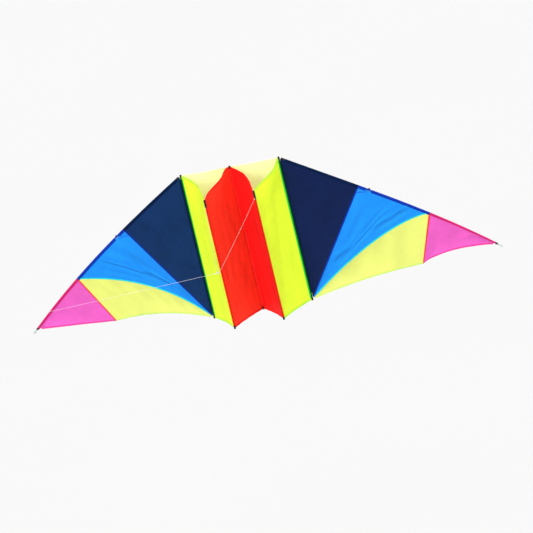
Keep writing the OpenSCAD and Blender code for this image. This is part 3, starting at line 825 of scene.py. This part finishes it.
LONGERON, KEEL_ROD, SPINE, EDGE_ROD = "longeron_rod_{}", "keel_rod_{}", "spine_rod", "edge_rod_{}"
PANELS = {
    # surface, folds, rows, columns, body, CAD node, record's slot, the spars that hold it
    "upper": (upper, fold_upper, 86, 28, "kite", "upper_sail", "sail_pale_yellow", [LONGERON, SPINE]),
    "lime": (lime, fold_lime, 84, 28, "kite", "lime_panel", "sail_lime", [LONGERON, KEEL_ROD]),
    "red": (red, fold_red, 84, 28, "kite", "red_panel", "sail_red", [SPINE, KEEL_ROD]),
    "navy": (navy, fold_navy, 92, 44, "wing", "navy_panel", "sail_navy", [EDGE_ROD, LONGERON]),
    "blue": (blue, fold_blue, 110, 42, "wing", "blue_panel", "sail_blue", [EDGE_ROD]),
    "yellow": (yellow, fold_yellow, 96, 34, "wing", "yellow_panel", "sail_yellow", [EDGE_ROD]),
    "pink": (pink, fold_pink, 46, 38, "wing", "pink_panel", "sail_pink", [EDGE_ROD]),
}


def displaced(kind, u, v, side):
    """Points of a panel's middle surface with its folds, and the folds' depth, at shares u and v."""
    surface, folds = PANELS[kind][:2]
    p = surface(u, v, side)
    h = 1e-3
    du = surface(np.clip(u + h, 0, 1), v, side) - surface(np.clip(u - h, 0, 1), v, side)
    dv = surface(u, np.clip(v + h, 0, 1), side) - surface(u, np.clip(v - h, 0, 1), side)
    n = unit(np.cross(du, dv))
    n = np.where(n[..., 1:2] > 0, -n, n)
    depth = folds(u, v, side)
    return p + n * depth[..., None], depth


def flat_frame(points):
    """The middle and the two axes of the smallest rectangle round a nearly flat piece of cloth."""
    middle = points.mean(0)
    _, _, axes = np.linalg.svd(points - middle, full_matrices=False)
    best = None
    for a in np.radians(range(90)):
        e1 = math.cos(a) * axes[0] + math.sin(a) * axes[1]
        e2 = -math.sin(a) * axes[0] + math.cos(a) * axes[1]
        size = np.ptp((points - middle) @ e1) * np.ptp((points - middle) @ e2)
        if best is None or size < best[0]:
            best = (size, e1, e2)
    return middle, best[1], best[2]


def grid_area(grid):
    a, b, c, d = grid[:-1, :-1], grid[:-1, 1:], grid[1:, 1:], grid[1:, :-1]
    first, second = np.cross(b - a, c - a), np.cross(c - a, d - a)
    return float((np.linalg.norm(first, axis=-1) + np.linalg.norm(second, axis=-1)).sum() / 2)


def rim_distance(grid):
    rim = np.concatenate([grid[0], grid[-1], grid[:, 0], grid[:, -1]])
    tree = KDTree(len(rim))
    for i, p in enumerate(rim):
        tree.insert(p, i)
    tree.balance()
    return np.array([tree.find(p)[2] for p in grid.reshape(-1, 3)])


def make_panel(kind, side):
    surface, _, rows, cols, body, node, slot, rods = PANELS[kind]
    sign = SIDES[side]
    u, v = np.meshgrid(np.linspace(0, 1, rows + 1), np.linspace(0, 1, cols + 1), indexing="ij")
    grid, depth = displaced(kind, u, v, side)
    middle, e1, e2 = flat_frame(grid.reshape(-1, 3))
    local = grid.reshape(-1, 3) - middle
    weave = np.stack([local @ e1, local @ e2, rim_distance(grid)], axis=1)
    fold = np.clip(depth.reshape(-1) / FOLD_SHADE, -1, 1)
    half = unit(grid_cross(grid)) * CLOTH / 2
    points, faces = shell(place(grid + half, sign), place(grid - half, sign))
    # the red and navy panels take a lighter copy of their cloth on the left and a darker one on the right:
    # painted light and painted shade
    material = MATERIAL[kind if kind in MATERIAL else kind + "_" + side]
    o = mesh_object(f"{kind}_cloth_{side}", points, faces, material,
                    attributes={"weave": np.tile(weave, (2, 1)), "fold": np.tile(fold, 2)})
    declare(o, body if body == "kite" else side + "_wing", [f"{node}_{side}"])
    round(grid_area(surface(u, v, side)), 4)


for side in SIDES:
    for kind in PANELS:
        make_panel(kind, side)


# ---------------------------------------------------------------- stitches
STITCH_PITCH = 0.0036
STITCH_LEN = 0.0027
STITCH_R = 0.00022
STITCH_FACES = [(0, 2, 3), (0, 3, 4), (0, 4, 5), (0, 5, 2), (1, 3, 2), (1, 4, 3), (1, 5, 4), (1, 2, 5)]
stitches = {}


def stitch_row(key, points, normal, lift):
    """A row of stitches on a line of points in the row frame, on the side its normals point to."""
    pts = resample(np.concatenate([points, normal], axis=1), step=STITCH_PITCH)
    at, n = pts[:, :3], unit(pts[:, 3:])
    t = unit(np.gradient(at, axis=0))
    side = np.cross(t, n)
    mid = at + n * lift
    half = t * STITCH_LEN / 2
    ends = [mid - half - n * STITCH_R, mid + half - n * STITCH_R]
    ring = [mid + n * STITCH_R, mid + side * STITCH_R, mid - n * STITCH_R, mid - side * STITCH_R]
    stitches.setdefault(key, []).append(np.stack(ends + ring, axis=1))


def make_stitching():
    """One piece for all the rows of stitches of a body and a thread."""
    for (body, thread), groups in stitches.items():
        pts = np.concatenate(groups)
        faces = [tuple(6 * k + i for i in f) for k in range(len(pts)) for f in STITCH_FACES]
        thread_material = MATERIAL["thread_" + thread]
        declare(mesh_object(f"stitching_{body}_{thread}", pts.reshape(-1, 3), faces, thread_material), body)


# ---------------------------------------------------------------- bands of cloth: seams, hems and facings
HEM = (0.00022, 0.0005, 0.00055, 0.0005, 0.00024)
SEAM = (0.00022, 0.0005, 0.0006, 0.0005, 0.00022)
SEAM_ROWS = [(1, 0.35), (2, 0.65)]
TURNED_IN = 0.0006       # from a hem's or a seam's side to where it has its full thickness


def band(build, key, columns, heights, sign, stitched=()):
    """A closed strip on the cloth, through columns of points, with a half thickness at each.

    stitched lists its rows of stitches: a column and the share of the way to the next one.
    """
    grid = np.stack(columns, axis=1)
    n = unit(grid_cross(grid))
    h = np.asarray(heights, float)[None, :, None]
    build.shell(place(grid + n * h, sign), place(grid - n * h, sign))
    for k, f in stitched:
        row = place(mix(grid[:, k], grid[:, k + 1], f), sign)
        m = unit(mix(n[:, k], n[:, k + 1], f))
        lift = mix(heights[k], heights[k + 1], f) + 0.00008
        for way in (1, -1):
            stitch_row(key, row, unit(m * way * np.array([sign, 1, 1])), lift)


def panel_line(kind, side, u, v):
    u, v = np.broadcast_arrays(np.asarray(u, float), np.asarray(v, float))
    return displaced(kind, u, v, side)[0]


def beside_u(kind, side, at, v, length):
    """Lines beside a panel's edge u = at (0 or 1), as a function of the distance from it."""
    return lambda s: panel_line(kind, side, at + (1 - 2 * at) * s / length, v)


def beside_v(kind, side, at, start, end, count):
    """Lines beside a panel's edge v = at (0 or 1), from u = start to end, as a function of the distance."""
    u = np.linspace(start, end, count)
    inward, probe = 1 - 2 * at, 0.02
    step = panel_line(kind, side, u, at + inward * probe) - panel_line(kind, side, u, at)
    reach = np.maximum(np.linalg.norm(step, axis=-1) / probe, 0.012)
    return lambda s: panel_line(kind, side, u, at + inward * (s / reach))


def hem(build, key, side, line, width=0.008, heights=HEM, edge_out=0.0005):
    """A hem along a panel's edge, with one row of stitches."""
    cols = [line(s) for s in (0.0, TURNED_IN, width * 0.45, width - TURNED_IN, width)]
    cols[0] = cols[0] + unit(cols[1] - cols[2]) * edge_out
    band(build, key, cols, heights, SIDES[side], [(2, 0.62)])


def seam(build, key, side, first, second, width, turned_in=TURNED_IN):
    """A felled seam where two panels' edges meet, with two rows of stitches."""
    half = width / 2
    middle = (first(0) + second(0)) / 2
    cols = [first(half), first(half - turned_in), middle, second(half - turned_in), second(half)]
    band(build, key, cols, SEAM, SIDES[side], SEAM_ROWS)


def hinge_strip(build, sign):
    """The wing's cloth where it runs on round the back of the longeron's sleeve and turns on it."""
    z = np.linspace(-0.0145, -SPAR_LEN + 0.030, 90)
    a = np.radians(np.linspace(-8, 96, 12))

    def layer(r):
        x, y, height = np.broadcast_arrays(CELL_W + r * np.cos(a), r * np.sin(a), z[:, None])
        return place(np.stack([x, y, height], axis=-1), sign)

    build.shell(layer(0.00440), layer(0.00405))


def make_trims(side):
    """The seams, hems and facings of one half."""
    wing = side + "_wing"
    ends = np.linspace(0.012, 0.988, 44)
    v = np.linspace(0.03, 0.995, 60)

    b = Build()
    seam(b, (wing, "navy"), side, beside_v("navy", side, 1.0, 0.0135, 0.97, 120),
         beside_v("blue", side, 0.0, 0.0135, 0.97, 120), 0.0065)
    b.object("seam_navy_blue_" + side, "seam_navy", wing, "sail_navy")
    b = Build()
    seam(b, (wing, "teal"), side, beside_v("blue", side, 1.0, 0.012, 0.97, 120),
         beside_v("yellow", side, 0.0, 0.012, 0.97, 120), 0.0082)
    b.object("seam_blue_yellow_" + side, "seam_teal", wing, "sail_blue")
    b = Build()
    seam(b, (wing, "red"), side, beside_u("yellow", side, 0.0, v, 0.6),
         beside_u("pink", side, 0.0, v, 0.35), 0.007, 0.0007)
    b.object("seam_yellow_pink_" + side, "seam_orange", wing, "sail_pink")

    b = Build()
    hem(b, (wing, "pale"), side, beside_v("yellow", side, 1.0, 0.0, 0.975, 110))
    b.object("hem_yellow_" + side, "hem_yellow", wing, "sail_yellow")
    b = Build()
    hem(b, (wing, "magenta"), side, beside_v("pink", side, 1.0, 0.0, 0.998, 60))
    b.object("hem_pink_" + side, "hem_pink", wing, "sail_pink")
    for kind, slot, thread in (
        ("upper", "sail_pale_yellow", "pale"), ("lime", "sail_lime", "lime"), ("red", "sail_red", "red"),
    ):
        b = Build()
        for at in (0.0, 1.0):
            hem(b, ("kite", thread), side, beside_u(kind, side, at, ends, 0.62))
        b.object(f"hem_{kind}_{side}", "hem_" + kind, "kite", slot)

    # the facings beside the longeron: bright green on the lime panel, navy on the wing
    b = Build()
    hem(b, ("kite", "green"), side, beside_v("lime", side, 1.0, 0.018, 0.985, 90), 0.0085,
        (0.0006, 0.0006, 0.0005, 0.0005, 0.00022), 0.0)
    b.object("facing_green_" + side, "flange_green", "kite", "sleeve_green")
    b = Build()
    hem(b, (wing, "navy"), side, beside_v("navy", side, 0.0, 0.03, 0.96, 90), 0.008,
        (0.0003, 0.0005, 0.0005, 0.0005, 0.00022), 0.0)
    hinge_strip(b, SIDES[side])
    b.object("facing_navy_" + side, "sleeve_navy", wing, "sleeve_navy")


for side in SIDES:
    make_trims(side)


# ---------------------------------------------------------------- sleeves
AROUND = 22
WALL = 0.0005
SLEEVE_OUT = SLEEVE_R - 0.00015
SEWN_HALF = 0.00055      # half the thickness of a sleeve where it is sewn down
SEWN_REACH = 0.0105      # from the spar's axis to the sleeve's sewn side


def section(lobe):
    """The outer and inner outline of a sleeve's section, in (inward, normal) coordinates.

    It is round at the spar and, with lobe, flat where it is sewn down.
    """
    a = turn(AROUND) + math.pi / AROUND
    circle = np.stack([np.cos(a), np.sin(a)], axis=1)
    x, y = (SLEEVE_OUT * circle).T
    if lobe:
        ahead = smooth((np.cos(a) - 0.25) / 0.7)
        x = x + ahead * (SEWN_REACH - SLEEVE_OUT)
        y = np.where(ahead > 0, mix(y, np.sign(np.sin(a)) * SEWN_HALF, np.clip(ahead * 1.25, 0, 1)), y)
    return np.stack([x, y], axis=1), (SLEEVE_OUT - WALL) * circle


def sleeve_axes(axis, inward):
    """The directions into the panel and square to it, along a sleeve's axis."""
    t = unit(np.gradient(axis, axis=0))
    x = unit(inward - t * np.sum(inward * t, axis=-1, keepdims=True))
    return x, np.cross(t, x)


def puckers(axis, seed, amount=0.00022):
    """Small uneven swells of a sleeve's cloth, for each point of its section along its axis."""
    rng = np.random.default_rng(seed)
    s = distances(axis)
    angle = np.linspace(0, 2 * math.pi, AROUND)
    swell = np.zeros((len(axis), AROUND))
    for _ in range(6):
        w, k = rng.uniform(0.012, 0.05), rng.integers(1, 4)
        p, q = rng.uniform(0, 2 * math.pi, 2)
        swell += np.sin(2 * math.pi * s[:, None] / w + p) * np.cos(k * angle[None] + q)
    return -amount * (0.5 + swell / 12)


def sleeve(build, axis, inward, seed, sign, lobe=True):
    outer, inner = section(lobe)
    x, n = sleeve_axes(axis, inward)
    size = np.maximum(np.linalg.norm(outer, axis=1), 1e-6)
    outer = outer[None] * (1 + puckers(axis, seed)[..., None] / size[None, :, None])

    def layer(outline):
        return place(axis[:, None] + outline[..., :1] * x[:, None] + outline[..., 1:] * n[:, None], sign)

    build.shell(layer(outer), layer(inner[None]), around=True)


def sleeve_stitches(key, axis, inward, sign):
    x, n = sleeve_axes(axis, inward)
    for way in (1, -1):
        stitch_row(key, place(axis + x * 0.0082, sign), n * way * np.array([sign, 1, 1]), 0.00072)


def slit_front(build, sign):
    """The belly half of the blue sleeve, where its back is open for the hook."""
    axis = edge(np.linspace(SLIT[0] - 0.0005, SLIT[1] + 0.0005, 14))
    t = unit(np.gradient(axis, axis=0))
    n = unit(t * t[:, 1:2] - [0, 1, 0])
    cut = math.asin(SLIT_FRONT / SLEEVE_OUT)
    a = np.linspace(cut, math.pi - cut, 15)
    outer, inner = (circles(axis, np.cross(t, n), n, a, r) for r in (SLEEVE_OUT, SLEEVE_OUT - WALL))
    build.shell(place(outer, sign), place(inner, sign))


def make_edge_sleeves(side):
    sign, body = SIDES[side], side + "_wing"
    seed = 304 if side == "left" else 404

    def run(name, spans, ahead, material, slot, node, thread):
        """One colour of sleeve. ahead gives a line of points in its panel, at shares of the edge."""
        build = Build()
        for a, b in spans:
            shares = np.linspace(a, b, int(round((b - a) * 1.054 / 0.006)))
            axis = edge(shares)
            inward = ahead(shares) - axis
            sleeve(build, axis, inward, seed, sign)
            sleeve_stitches((body, thread), axis[1:-1], inward[1:-1], sign)
        if thread == "blue":
            slit_front(build, sign)
        build.object(f"{name}_{side}", material, body, slot, [f"{node}_{side}"])

    run("edge_sleeve_navy", [(CLOTH_START, SEAM_A - 0.0005)],
        lambda s: panel_line("navy", side, 0.012, s / SEAM_A),
        "sleeve_navy", "sleeve_navy", "navy_sleeve", "navy")
    run("edge_sleeve_blue", [(SEAM_A, SLIT[0]), (SLIT[1], SEAM_B - 0.0005)],
        lambda s: panel_line("blue", side, 0.012, (s - SEAM_A) / (SEAM_B - SEAM_A)),
        "sleeve_blue", "sleeve_blue", "blue_sleeve", "blue")
    run("edge_sleeve_pink", [(SEAM_B, CLOTH_END - 0.002)],
        lambda s: panel_line("pink", side, np.clip((s - SEAM_B) / (CLOTH_END - SEAM_B), 0, 0.93), 0.03),
        "sleeve_pink", "sleeve_magenta", "pink_sleeve", "magenta")


SLEEVE_END = 0.011       # from the sail's corner to the sleeve's end, under the cap


def upright_sleeve(name, node, post, sign, material, slot):
    """A round sleeve on one of the five straight spars. post is its place and the height of its top."""
    x, y, top = post
    z = np.linspace(top - SLEEVE_END, -SPAR_LEN + SLEEVE_END, 110)
    axis = np.stack([np.full_like(z, x), np.full_like(z, y), z], axis=1)
    inward = np.broadcast_to([-1.0, 0.0, 0.0], axis.shape)
    build = Build()
    sleeve(build, axis, inward, len(name) * 7 + sign, sign, lobe=False)
    build.object(name, material, "kite", slot, [node])


for side in SIDES:
    make_edge_sleeves(side)
for spar, post, look in (
    ("longeron", (CELL_W, 0, 0), "sleeve_green"), ("keel", (*KEEL, -KEEL_START), "sleeve_red"),
):
    for side, sign in SIDES.items():
        upright_sleeve(f"sleeve_{spar}_{side}", f"{spar}_sleeve_{side}", post, sign, look, look)
upright_sleeve("sleeve_spine", "spine_sleeve", (0, 0, 0), 1, "sleeve_spine", "sleeve_red")


# ---------------------------------------------------------------- fittings
def lathe(build, origin, axis, profile):
    """A turned solid: profile is (distance along the axis, radius), and closes on the axis at both ends."""
    d = unit(np.asarray(axis, float))
    x = unit(np.cross(d, [0.31, 0.17, 0.93] if abs(d[2]) < 0.9 else [1.0, 0, 0]))
    s, radius = np.array(profile).T
    centres = origin + d * s[:, None]
    x, y = (np.broadcast_to(side, centres.shape) for side in (x, np.cross(d, x)))
    tube(build, circles(centres, x, y, turn(28), radius[:, None, None]))


CAP_LEN, CAP_R, CAP_BORE = 0.014, 0.0043, 0.00205
CAP_OVER = 0.0035        # how far a cap reaches past the end of its spar


def cap_profile():
    """Half outline of a dipped end cap, from the bore round its flared lip to its domed end."""
    low, lip = CAP_OVER - CAP_LEN, CAP_R + 0.00035
    dome = ((0.0016, 0), (0.0009, 0.0002), (0.0004, 0.0008), (0.0001, 0.0018), (0, 0.003))
    return [
        (CAP_OVER - 0.002, 0.0002), (CAP_OVER - 0.002, CAP_BORE), (low + 0.0002, CAP_BORE),
        (low, CAP_BORE + 0.0002), (low, lip - 0.0002), (low + 0.0004, lip), (low + 0.0012, lip),
        (low + 0.0018, CAP_R),
        *((CAP_OVER - down, CAP_R - less) for down, less in dome), (CAP_OVER, 0.0002),
    ]


def make_caps():
    """The caps on both ends of the five straight spars."""
    keels = [(x, KEEL[1], -KEEL_START) for x in (-KEEL[0], KEEL[0])]
    nose, tail = Build(), Build()
    for x, y, top in [(-CELL_W, 0, 0), (0, 0, 0), (CELL_W, 0, 0), *keels]:
        lathe(nose, place((x, y, top), 1), (0, 0, 1), cap_profile())
        lathe(tail, place((x, y, -SPAR_LEN), 1), (0, 0, -1), cap_profile())
    nose.object("caps_nose", "vinyl", "kite", "black_vinyl", ["nose_caps"])
    tail.object("caps_tail", "vinyl", "kite", "black_vinyl", ["tail_caps"])


def make_edge_rod(side):
    """The bent spar, with its cap at the root."""
    sign, body = SIDES[side], side + "_wing"
    rod = Build()
    tube(rod, round_rings(place(edge(np.linspace(0.0122, 0.9995, 130)), sign), 0.0025, 20))
    rod.object("edge_spar_" + side, "rod", body, "glass_fibre_rod", ["edge_rod_" + side])
    end, mouth = place(edge(0.0102), sign), place(edge(0.0233), sign)
    long = float(np.linalg.norm(end - mouth))
    root = Build()
    lathe(root, mouth, end - mouth, [
        (long - 0.0016, 0.0002), (long - 0.0016, 0.00256), (0.0002, 0.00256), (0.0, 0.0028), (0.0, 0.0038),
        (0.0004, 0.00395), (long - 0.0015, 0.00395), (long - 0.0006, 0.0035), (long - 0.0001, 0.0024),
        (long, 0.0002),
    ])
    root.object("edge_root_cap_dipped_" + side, "vinyl", body, "black_vinyl", ["edge_root_cap_" + side])


def restyle(mesh, material):
    """A mesh with one material and smooth faces."""
    mesh.materials.clear()
    mesh.materials.append(MATERIAL[material])
    mesh.polygons.foreach_set("use_smooth", [True] * len(mesh.polygons))


def moulded(node, name, material, body, voxel):
    """A CAD node as one moulding with its corners rounded."""
    o = link(name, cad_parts[node].data.copy())
    remesh = o.modifiers.new("remesh", "REMESH")
    remesh.mode = "VOXEL"
    remesh.voxel_size = voxel
    soft = o.modifiers.new("soft", "SMOOTH")
    soft.factor, soft.iterations = 0.5, 3
    bpy.context.view_layer.update()
    mesh = bpy.data.meshes.new_from_object(o.evaluated_get(bpy.context.evaluated_depsgraph_get()))
    bpy.data.objects.remove(o)
    restyle(mesh, material)
    declare(link(name, mesh), body, [node])


def make_tab(side):
    """Webbing loop in front of the keel: one strap folded round, its ends sewn together at the sleeve."""
    half, near, far = 0.0026, 0.0042, 0.0140
    bend = np.linspace(0, math.pi, 11)
    round_end = np.stack([-half * np.cos(bend), -(far - half) - half * np.sin(bend)], axis=1)
    path = resample(np.concatenate([[(-half, -near)], round_end, [(half, -near)]]), step=0.0006)
    t = unit(np.gradient(path, axis=0))
    n = np.stack([t[:, 1], -t[:, 0]], axis=1)
    heights = np.linspace(-0.0025, 0.0025, 11)
    thick = 0.0005 + 0.0001 * np.cos(heights / 0.0025 * math.pi / 2)

    def layer(way):
        pts = np.zeros((len(path), len(heights), 3))
        pts[..., :2] = KEEL + path[:, None] + n[:, None] * (way * thick)[None, :, None]
        pts[..., 2] = TAB_PIVOT[2] + heights
        return place(pts, SIDES[side])

    b = Build()
    b.shell(layer(1), layer(-1))
    b.object("tow_webbing_" + side, "webbing", "kite", "black_webbing", ["tow_tab_" + side])


TAPE_INNER = 0.00392     # radius, just inside the sleeve's outside
TAPE_KEEL, TAPE_TIP = 0.00425, 0.0043


def tape(name, side, axis, radius, material, body, slot):
    """Tape wound round a sleeve."""
    b = Build()
    outer, inner = (place(round_rings(axis, r, 24), SIDES[side]) for r in (radius, TAPE_INNER))
    b.shell(outer, inner, around=True)
    b.object(f"{name}_{side}", material, body, slot)


make_caps()
for side in SIDES:
    make_edge_rod(side)
    # black tape round the top of the keel's sleeve, where the tow tab is sewn on
    z = np.linspace(-0.0792, -0.0985, 16)
    axis = np.stack([np.full_like(z, KEEL[0]), np.full_like(z, KEEL[1]), z], axis=1)
    tape("keel_tape", side, axis, TAPE_KEEL, "webbing", "kite", "black_webbing")
    make_tab(side)
    moulded("tip_nock_" + side, "nock_moulded_" + side, "nock", side + "_wing", 0.0002)
    moulded("spreader_hook_" + side, "hook_moulded_" + side, "moulded", "spreader", 0.0003)


# ---------------------------------------------------------------- reinforcements at the hook and the tip
PATCH_LIFT = np.array([0, 0.0011, 0])


def make_patches(side):
    sign, wing = SIDES[side], side + "_wing"
    b = Build()
    u = np.linspace(0.004, 0.050, 14)
    free = mix(0.15, 0.03, (u - 0.004) / 0.046)
    cols = [panel_line("blue", side, u, mix(0.02, free, f)) + PATCH_LIFT for f in np.linspace(0, 1, 9)]
    band(b, (wing, "blue"), cols, [0.00022] * 9, sign)
    b.object("patch_spreader_" + side, "patch", wing, "sail_blue", ["spreader_patch_" + side])

    b = Build()
    u = np.linspace(0.93, 0.992, 10)
    cols = [panel_line("pink", side, u, mix(0.06, 0.9, f)) + PATCH_LIFT for f in np.linspace(0, 1, 6)]
    band(b, (wing, "magenta"), cols, [0.0002] * 6, sign)
    b.object("facing_tip_" + side, "facing", wing, "dark_facing", ["tip_patch_" + side])
    # dark tape wound round the sleeve's outer end
    axis = edge(np.linspace(CLOTH_END - 0.0105, CLOTH_END - 0.0012, 10))
    tape("tip_tape", side, axis, TAPE_TIP, "facing", wing, "dark_facing")

    # the patch's turned-in hem, sewn through the panel
    b = Build()
    share = np.linspace(0, 1, 30)
    u, v = mix(0.054, 0.014, share), mix(0.012, 0.150, share)
    cols = [panel_line("blue", side, u + d, v) for d in (-0.0042, -0.0034, 0.0, 0.0034, 0.0042)]
    band(b, (wing, "blue"), cols, (0.00022, 0.0004, 0.00045, 0.0004, 0.00022), sign, [(1, 0.5), (2, 0.5)])
    b.object("patch_hem_" + side, "patch_hem", wing, "sail_blue")


for side in SIDES:
    make_patches(side)
make_stitching()

# ---------------------------------------------------------------- CAD nodes that stay
halves = [f"{rod}_{side}" for rod in ("longeron_rod", "keel_rod", "spreader_rod") for side in SIDES]
for node in ["spine_rod", *halves]:
    restyle(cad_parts[node].data, "rod")
restyle(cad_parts["spreader_ferrule"].data, "ferrule")
restyle(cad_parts["tow_ring"].data, "ring")

# ---------------------------------------------------------------- floor and light
FLOOR_Z = -6.0
FLOOR_HALF = 600.0
FLOOR_TONE = 0.552
WORLD_LIGHT = 0.939
SUNS = {
    # direction that it comes from, strength, angle it spreads over in degrees
    "key": ((-0.35, -0.9, 0.42), 2.6, 30.0),
    "fill": ((0.7, -0.75, 0.3), 1.8, 50.0),
    "rear": ((0.15, 0.8, 0.5), 1.7, 60.0),
}


def make_stage():
    t = Tree("floor_pale")
    tone = t.shade((*[FLOOR_TONE] * 3, 1.0), t.span(t.noise(0.8, 2.0), 0.997, 1.003))
    corners = [(x * FLOOR_HALF, y * FLOOR_HALF, FLOOR_Z) for x, y in ((-1, -1), (1, -1), (1, 1), (-1, 1))]
    pale = t.surface(tone, 1.0, {"Specular IOR Level": 0.0})
    floor = mesh_object("floor", corners, [(0, 1, 2, 3)], pale, smooth_faces=False)
    world = bpy.data.worlds.new("studio")
    bpy.context.scene.world = world
    world.use_nodes = True
    background = world.node_tree.nodes["Background"].inputs
    background["Color"].default_value = (1, 1, 1, 1)
    background["Strength"].default_value = WORLD_LIGHT
    for name, (direction, strength, spread) in SUNS.items():
        light = bpy.data.lights.new(name, "SUN")
        light.energy = strength
        light.angle = math.radians(spread)
        link(name, light).rotation_euler = Vector(direction).to_track_quat("Z", "Y").to_euler()
    bpy.context.scene.view_settings.view_transform = "Standard"


make_stage()
